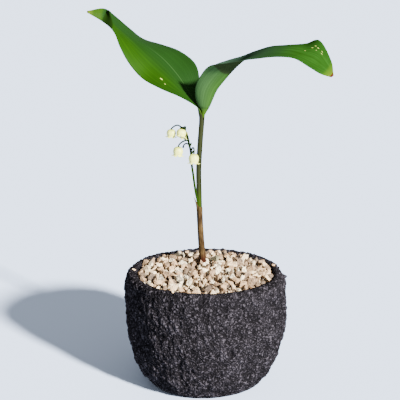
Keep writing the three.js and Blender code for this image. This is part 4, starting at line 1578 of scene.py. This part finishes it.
@dataclass
class Tubes:
    """Round stems of changing girth, swept along lines by Geometry Nodes."""

    name: str
    sides: int = 14

    def tree(self) -> bpy.types.NodeTree:
        """Sweeps a circle along each line of a wire, with the radius that the wire keeps.

        Returns:
            The Geometry Nodes tree.
        """
        graph, given = Graph.geometry("sweep stems", Sides="Int", Material="Material")
        girth = graph.add("GeometryNodeInputNamedAttribute", {"data_type": "FLOAT"}, Name="girth")
        line = graph.add("GeometryNodeMeshToCurve", Mesh=given["Geometry"])
        circle = graph.add(
            "GeometryNodeCurvePrimitiveCircle", {"mode": "RADIUS"}, Resolution=given["Sides"], Radius=1.0,
        )
        swept = graph.add(
            "GeometryNodeCurveToMesh", Curve=line, Profile_Curve=circle, Fill_Caps=True, Scale=girth,
        )
        return graph.finish(graph.add("GeometryNodeSetShadeSmooth", Geometry=swept), given["Material"])

    def build(
        self, lines: Sequence[tuple[np.ndarray, np.ndarray]], material: bpy.types.Material | None,
    ) -> bpy.types.Object:
        """Sweeps the stems.

        Args:
            lines: The points of each stem and its radius at each of them, in millimetres.
            material: What they are made of.

        Returns:
            The stems as one plain mesh.
        """
        points = np.vstack([line for line, _ in lines])
        girth = np.concatenate([radii for _, radii in lines])
        edges, start = [], 0
        for line, _ in lines:
            edges += [(start + i, start + i + 1) for i in range(len(line) - 1)]
            start += len(line)
        mesh = bpy.data.meshes.new(self.name)
        mesh.from_pydata((points * MM).tolist(), edges, [])
        made = link(bpy.data.objects.new(self.name, mesh))
        store(made, "girth", girth * MM)
        run_tree(made, self.tree(), {"Sides": self.sides, "Material": material})
        return made


@dataclass
class FlowerStem:
    """The scape with its pedicels, bracts and one bare pedicel."""

    sheathed: tuple[float, ...] = (57, 70, 82, 94, 106)
    shift: tuple[float, float] = (-0.35, -1.62)
    free: tuple[Point, ...] = (
        (-4.55, 8.5, 111.5), (-5.8, 7.9, 117.8), (-6.6, 7.6, 123.1), (-7.4, 7.3, 129.3), (-8.3, 7, 136),
        (-8.8, 6.5, 143.4), (-9.7, 6.2, 148.3), (-10.9, 6, 154), (-12.2, 5.8, 157.2), (-13.3, 5.6, 158.8),
        (-14.5, 5.5, 159.7),
    )
    girths: tuple[tuple[float, float], ...] = ((0, 0.55), (0.33, 0.58), (0.4, 0.72), (1, 0.56))
    pedicel_radius: float = 0.44
    end_swell: float = 0.5
    foot_swell: float = 0.3
    scape_points: int = 120
    pedicel_points: int = 24
    bare: tuple[Point, ...] = ((-9.9, 6.2, 148.9), (-11.6, 7.5, 149.3), (-13, 9, 148.2), (-13.6, 10, 146.4))
    bracts: tuple[tuple[Point, Point], ...] = (
        ((-14.3, 5.5, 159.5), (-15.7, 5.6, 158.6)), ((-13, 5.6, 158.3), (-11.6, 5.9, 160.2)),
        ((-10.6, 6, 152.4), (-11.6, 5.2, 154.2)), ((-9.6, 6.2, 147.8), (-8.4, 6.2, 150.2)),
        ((-8.6, 6.5, 143.2), (-7.2, 7.4, 145)),
    )
    bract_half: float = 0.6
    bract_bend: float = 0.35
    bract_flatness: float = 0.35
    bract_steps: int = 10
    bract_sides: int = 10
    finish: Finish = field(default_factory=StemFinish)

    def bract(self, base: Point, tip: Point) -> bpy.types.Object:
        """A small pointed scale, thicker along its middle.

        Args:
            base: Where it leaves the stem.
            tip: Its tip.

        Returns:
            The scale.
        """
        start, end = np.array(base, float), np.array(tip, float)
        along = unit(end - start)
        across = unit(np.cross(along, (0, -1, 0.2)))
        out = np.cross(along, across)
        t = np.linspace(0, 1, self.bract_steps)[:, None]
        half = (self.bract_half * np.sin(np.pi * (0.25 + 0.74 * t)) ** 0.8)[..., None]
        centre = start + (end - start) * t + out * (self.bract_bend * np.sin(np.pi * t))
        angle = ring_angles(self.bract_sides)[None, :, None]
        ring = np.cos(angle) * across * half + np.sin(angle) * out * half * self.bract_flatness
        points = (centre[:, None] + ring).reshape(-1, 3)
        return new_object("bract", points, tube_faces(self.bract_steps, self.bract_sides))

    def build(self, pedicels: Sequence[tuple[Point, ...]]) -> None:
        """Makes the flower stem and puts it on the frame.

        Args:
            pedicels: The line of each pedicel that carries a bell.
        """
        material = self.finish.build()
        low = shoot_at(np.array(self.sheathed)) + (*self.shift, 0)
        climb = np.linspace(0, 1, self.scape_points)
        scape = catmull_rom([*low.tolist(), *self.free], climb)
        lines = [(scape, np.interp(climb, *np.array(self.girths).T))]
        share = np.linspace(0, 1, self.pedicel_points)
        at_end, at_foot = smooth_step(0.9, 1, share), smooth_step(0.15, 0, share)
        swell = 1 + self.end_swell * at_end + self.foot_swell * at_foot
        lines += [(catmull_rom(line, share), self.pedicel_radius * swell) for line in (*pedicels, self.bare)]
        made = Tubes("flower_stem_green").build(lines, material)
        join(made, [self.bract(*ends) for ends in self.bracts])
        made.data.materials.clear()
        made.data.materials.append(material)
        enlist(made, "stem", "flower_stem")


@dataclass
class Sheath:
    """The dry brown scale leaf round the foot of the shoot."""

    foot: float = 53
    mouth: float = 110.5
    half_depth: float = 2.3
    least_depth: float = 2.44
    widths: tuple[tuple[float, float], ...] = (
        (53, 2.02), (70, 2.08), (78, 2.08), (84, 1.98), (96, 1.86), (110.5, 1.8),
    )
    wall: float = 0.28
    lining_foot: int = 8
    fibre_height: float = 0.05
    fibres_round: float = 6
    fibre_stretch: float = 0.12
    mouth_drop: float = 1.2
    mouth_low: float = 200
    mouth_slant: float = 1.1
    mouth_waves: float = 0.25
    sides: int = 48
    rows: int = 150
    tip: tuple[Point, ...] = ((-4.9, 8.6, 106.5), (-5.3, 8.3, 110), (-6.1, 8, 113), (-7.1, 7.9, 115.6))
    tip_half: float = 0.72
    tip_steps: int = 20
    tip_sides: int = 12
    tip_keel: float = 0.4
    tip_thickness: float = 0.17
    tip_taper: float = 1.6
    tip_least: float = 0.08
    finish: Finish = field(default_factory=SheathFinish)

    def tube(self) -> bpy.types.Object:
        """The tube with its fibres and its slanting mouth.

        Returns:
            The tube.
        """
        angle = ring_angles(self.sides)
        share = np.linspace(0, 1, self.rows)
        slant = self.mouth_slant * np.cos(angle - math.radians(self.mouth_low))
        slant = slant + self.mouth_waves * np.sin(5 * angle)
        height = self.foot + share[:, None] * (self.mouth - self.mouth_drop + slant[None, :] - self.foot)
        centre = shoot_at(height.ravel()).reshape(*height.shape, 3)
        width = np.interp(height, *np.array(self.widths).T)
        places = (angle * self.fibres_round, height * self.fibre_stretch, height * 0)
        pattern = np.stack(np.broadcast_arrays(*places), -1).reshape(-1, 3)
        fibre = self.fibre_height * relief(pattern, 1).reshape(height.shape)
        depth = np.maximum(self.half_depth * width / self.widths[0][1], self.least_depth)

        def wall(inset: float) -> np.ndarray:
            """One face of the tube.

            Args:
                inset: How far it lies inside the outer face, in millimetres.

            Returns:
                Its points, by rows and places round it.
            """
            x = centre[..., 0] + (width - inset + fibre) * np.cos(angle)
            y = centre[..., 1] + (depth - inset + fibre) * np.sin(angle)
            return np.stack([x, y, height], -1)

        rows = np.concatenate([wall(0), wall(self.wall)[:self.lining_foot:-1]])
        return new_object("sheath_skin", rows.reshape(-1, 3), tube_faces(len(rows), self.sides))

    def free_tip(self) -> bpy.types.Object:
        """The pointed tip that stands off to the left.

        Returns:
            The tip.
        """
        t = np.linspace(0, 1, self.tip_steps)
        centre = catmull_rom(self.tip, t)
        along = unit(np.gradient(centre, axis=0))
        across = unit(np.cross(along, (-0.5, -1, 0)))
        out = np.cross(along, across)[:, None]
        half = (self.tip_half * (1 - t**self.tip_taper) + self.tip_least)[:, None, None]
        angle = ring_angles(self.tip_sides)[None, :, None]
        ring = np.cos(angle) * across[:, None] * half + np.sin(angle) * out * self.tip_thickness
        ring = ring + out * (half * self.tip_keel * np.cos(angle) ** 2)
        points = (centre[:, None] + ring).reshape(-1, 3)
        return new_object("sheath_tip", points, tube_faces(self.tip_steps, self.tip_sides))

    def build(self) -> None:
        """Makes the sheath and puts it on the frame."""
        made = self.tube()
        join(made, [self.free_tip()])
        made.data.materials.append(self.finish.build())
        enlist(made, "sheath", "sheath")


# ---- Bells ----


@dataclass
class Bell:
    """One bell: six fused petals with recurved lobes, on the end of its pedicel."""

    node: str
    pedicel: tuple[Point, ...]
    length: float
    radius: float
    axis: Point
    petals: int = 6
    outside: tuple[tuple[float, float], ...] = (
        (0.16, 0.02), (0.42, 0.035), (0.68, 0.1), (0.86, 0.22), (0.96, 0.38), (0.98, 0.54), (0.92, 0.7),
        (0.86, 0.8),
    )
    lobe: tuple[tuple[float, float], ...] = ((0.85, 0.86), (0.92, 0.92), (1.06, 0.955), (1.19, 0.93))
    wall: float = 0.26
    across: int = 10
    rows: int = 22
    lobe_rows: int = 8
    hang: float = 0.42
    sink: float = 0.35
    keel: float = 0.045
    lobe_taper: float = 0.93
    lobe_curve: float = 1.7
    keel_from: tuple[float, float] = (0.1, 0.5)
    join_distance: float = 0.004

    @property
    def stalk(self) -> tuple[Point, ...]:
        """The pedicel, carried on into the crown of the bell."""
        end = Vector(self.pedicel[-1]) + Vector(self.axis).normalized() * (self.hang + self.sink)
        return (*self.pedicel, tuple(end))

    def sector(self) -> bpy.types.Object:
        """One petal: a sixth of the cup with its lobe, open where it meets its neighbours.

        Returns:
            The petal, with its crown at the origin.
        """
        profile = np.array([*self.outside, *self.lobe]) * (self.radius, self.length)
        total = self.rows + self.lobe_rows
        body_end = (len(self.outside) - 1) / (len(profile) - 1)
        lobe_shares = np.linspace(body_end, 1, self.lobe_rows + 1)[1:]
        share = np.concatenate([np.linspace(0, body_end, self.rows), lobe_shares])
        outline = catmull_rom(profile, share)
        tangent = np.gradient(outline, axis=0)
        inward = unit(np.stack([-tangent[:, 1], tangent[:, 0]], 1))
        t = np.clip((share - body_end) / (1 - body_end), 0, 1)
        s = np.linspace(-1, 1, self.across + 1)
        half = math.pi / self.petals * (1 - self.lobe_taper * t**self.lobe_curve)
        angle = half[:, None] * s[None, :]
        furrow = (np.cos(math.pi * s)[None, :] - 1) * 0.5
        keel = self.keel * self.radius * furrow * smooth_step(*self.keel_from, share)[:, None]

        def face(inset: float) -> np.ndarray:
            """One face of the petal, moved in by an inset."""
            line = outline + inward * inset
            return round_points(line[:, 0, None] + keel, angle, -line[:, 1, None])

        outer, inner = face(0), face(self.wall)
        columns = self.across + 1
        crown = [(0, 0, outer[0, 0, 2]), (0, 0, inner[0, 0, 2])]
        points = np.concatenate([outer.reshape(-1, 3), inner.reshape(-1, 3), crown])
        offset = total * columns
        faces = [quad[::-1] for quad in grid_faces(total, columns)]
        faces += grid_faces(total, columns, offset)
        for j in range(self.across):
            faces.append((j, j + 1, 2 * offset))
            faces.append((offset + j + 1, offset + j, 2 * offset + 1))
            last = (total - 1) * columns + j
            faces.append((last + 1, last, offset + last, offset + last + 1))
        for i in range(self.rows - 1, total - 1):
            left, right = i * columns, i * columns + self.across
            faces.append((left, left + columns, offset + left + columns, offset + left))
            faces.append((right + columns, right, offset + right, offset + right + columns))
        made = new_object(self.node + "_cup", points, [corners[::-1] for corners in faces])
        store(made, "along", np.concatenate([np.tile(np.repeat(share, columns), 2), [0, 0]]))
        return made

    def tree(self) -> bpy.types.NodeTree:
        """Repeats a petal round the bell's axis, joins the copies and hangs the bell.

        Returns:
            The Geometry Nodes tree.
        """
        graph, given = Graph.geometry(
            "petals in a ring", Petals="Int", Join_Distance="Float", Place="Vector", Turn="Rotation",
            Material="Material",
        )
        points = graph.add("GeometryNodePoints", Count=given["Petals"])
        index = graph.value("GeometryNodeInputIndex")
        turn = index * graph.math("DIVIDE", FULL_TURN, given["Petals"])
        round_axis = graph.add("ShaderNodeCombineXYZ", Z=turn)
        soft = graph.add("GeometryNodeSetShadeSmooth", Geometry=given["Geometry"])
        ring = graph.add("GeometryNodeInstanceOnPoints", Points=points, Instance=soft, Rotation=round_axis)
        hung = graph.add(
            "GeometryNodeTransform", Geometry=ring, Translation=given["Place"], Rotation=given["Turn"],
        )
        return graph.finish(hung, given["Material"], given["Join Distance"])

    def build(self, material: bpy.types.Material) -> None:
        """Makes the bell and puts it on the frame.

        Args:
            material: What it is made of.
        """
        made = self.sector()
        axis = Vector(self.axis).normalized()
        turn = Vector((0, 0, -1)).rotation_difference(axis).to_euler()
        place = (Vector(self.pedicel[-1]) + axis * self.hang) * MM
        run_tree(made, self.tree(), {
            "Petals": self.petals, "Join Distance": self.join_distance * MM, "Place": tuple(place),
            "Turn": tuple(turn), "Material": material,
        })
        enlist(made, "bell", self.node)


BELLS: tuple[Bell, ...] = (
    Bell(
        "bell_1", ((-14.1, 5.5, 159.4), (-16.4, 5, 161), (-18.5, 4.5, 160.7), (-20.4, 4.1, 159.2)),
        4.9, 2.85, (-0.06, 0, -1),
    ),
    Bell(
        "bell_2", ((-13.1, 5.6, 158.4), (-13.3, 4, 159.9), (-13.7, 2.4, 160.2), (-13.9, 1.9, 159.8)),
        4.9, 2.95, (-0.22, -0.3, -1),
    ),
    Bell(
        "bell_3", ((-13, 5.7, 158.5), (-12.5, 7.4, 159.8), (-12.1, 8.8, 158.2), (-12.3, 9.1, 156.8)),
        4.6, 2.3, (-0.2, 0.15, -1),
    ),
    Bell(
        "bell_4",
        ((-10.4, 6.1, 151.6), (-12.3, 5, 151.6), (-14.4, 4, 150.8), (-15.8, 3.3, 149.6), (-16.2, 3.1, 148.7)),
        5.8, 3.05, (-0.1, 0, -1),
    ),
    Bell(
        "bell_5",
        ((-8.8, 6.4, 144.6), (-8, 5.2, 147), (-7.1, 3.8, 147.2), (-6.9, 2.9, 145.6), (-7, 2.7, 144.5)),
        6.2, 3.1, (-0.04, -0.14, -1),
    ),
)


# ---- Studio ----


@dataclass
class Studio:
    """A pale floor, soft light and the camera in front and a little above."""

    floor_colour: Colour = (0.55, 0.65, 0.84)
    floor_size: float = 30.0
    camera_place: Point = (-0.00333, -0.6641, 0.2951)
    camera_tilt: float = 74.9
    lens: float = 102.1
    sensor: float = 36
    key_from: Point = (0.64, -0.77, 0.42)
    key_spread: float = 5.0
    key_strength: float = 30.0
    surround: Colour = (0.95, 0.97, 1.0)
    surround_strength: float = 0.6

    def light(self) -> None:
        """Adds the soft key light from the front right, above."""
        lamp = bpy.data.lights.new("key", "SUN")
        lamp.angle, lamp.energy = math.radians(self.key_spread), self.key_strength
        made = link(bpy.data.objects.new("key", lamp))
        made.location = self.key_from
        made.rotation_euler = Vector(self.key_from).to_track_quat("Z", "Y").to_euler()

    def build(self) -> None:
        """Makes the floor, the lights, the pale surroundings and the camera."""
        half = self.floor_size / 2
        corners = np.array([(-half, -half, 0), (half, -half, 0), (half, half, 0), (-half, half, 0)])
        floor = new_object("floor", corners / MM, [(0, 1, 2, 3)])
        material = bpy.data.materials.new("floor")
        material.use_nodes = True
        shader = material.node_tree.nodes["Principled BSDF"]
        shader.inputs["Base Color"].default_value = (*self.floor_colour, 1)
        shader.inputs["Roughness"].default_value = 0.9
        floor.data.materials.append(material)
        world = bpy.data.worlds.new("studio")
        world.use_nodes = True
        background = world.node_tree.nodes["Background"].inputs
        background[0].default_value = (*self.surround, 1)
        background[1].default_value = self.surround_strength
        bpy.context.scene.world = world
        self.light()
        camera = bpy.data.cameras.new("camera")
        camera.lens, camera.sensor_width = self.lens, self.sensor
        made = link(bpy.data.objects.new("camera", camera))
        made.location = self.camera_place
        made.rotation_euler = (math.radians(self.camera_tilt), 0, 0)
        bpy.context.scene.camera = made


def dress_inner_nodes() -> None:
    """Gives the soil and the rhizome, which stay as packed, their own materials."""
    skin = EarthFinish("rhizome", dark=(0.2, 0.13, 0.06), light=(0.5, 0.38, 0.22))
    for finish in (EarthFinish("soil"), skin):
        material = finish.build()
        for slot in frame["nodes"][finish.name].material_slots:
            slot.material = material


def main() -> None:
    """Builds the pot, the gravel and the plant in order."""
    logging.basicConfig(level=logging.INFO, format="%(message)s")
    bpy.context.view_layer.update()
    Studio().build()
    dress_inner_nodes()
    Pot().build()
    Gravel().build()
    Sheath().build()
    for leaf in LEAVES:
        leaf.build()
    FlowerStem().build([bell.stalk for bell in BELLS])
    cream = BellFinish().build()
    for bell in BELLS:
        bell.build(cream)


if __name__ == "__main__":
    main()
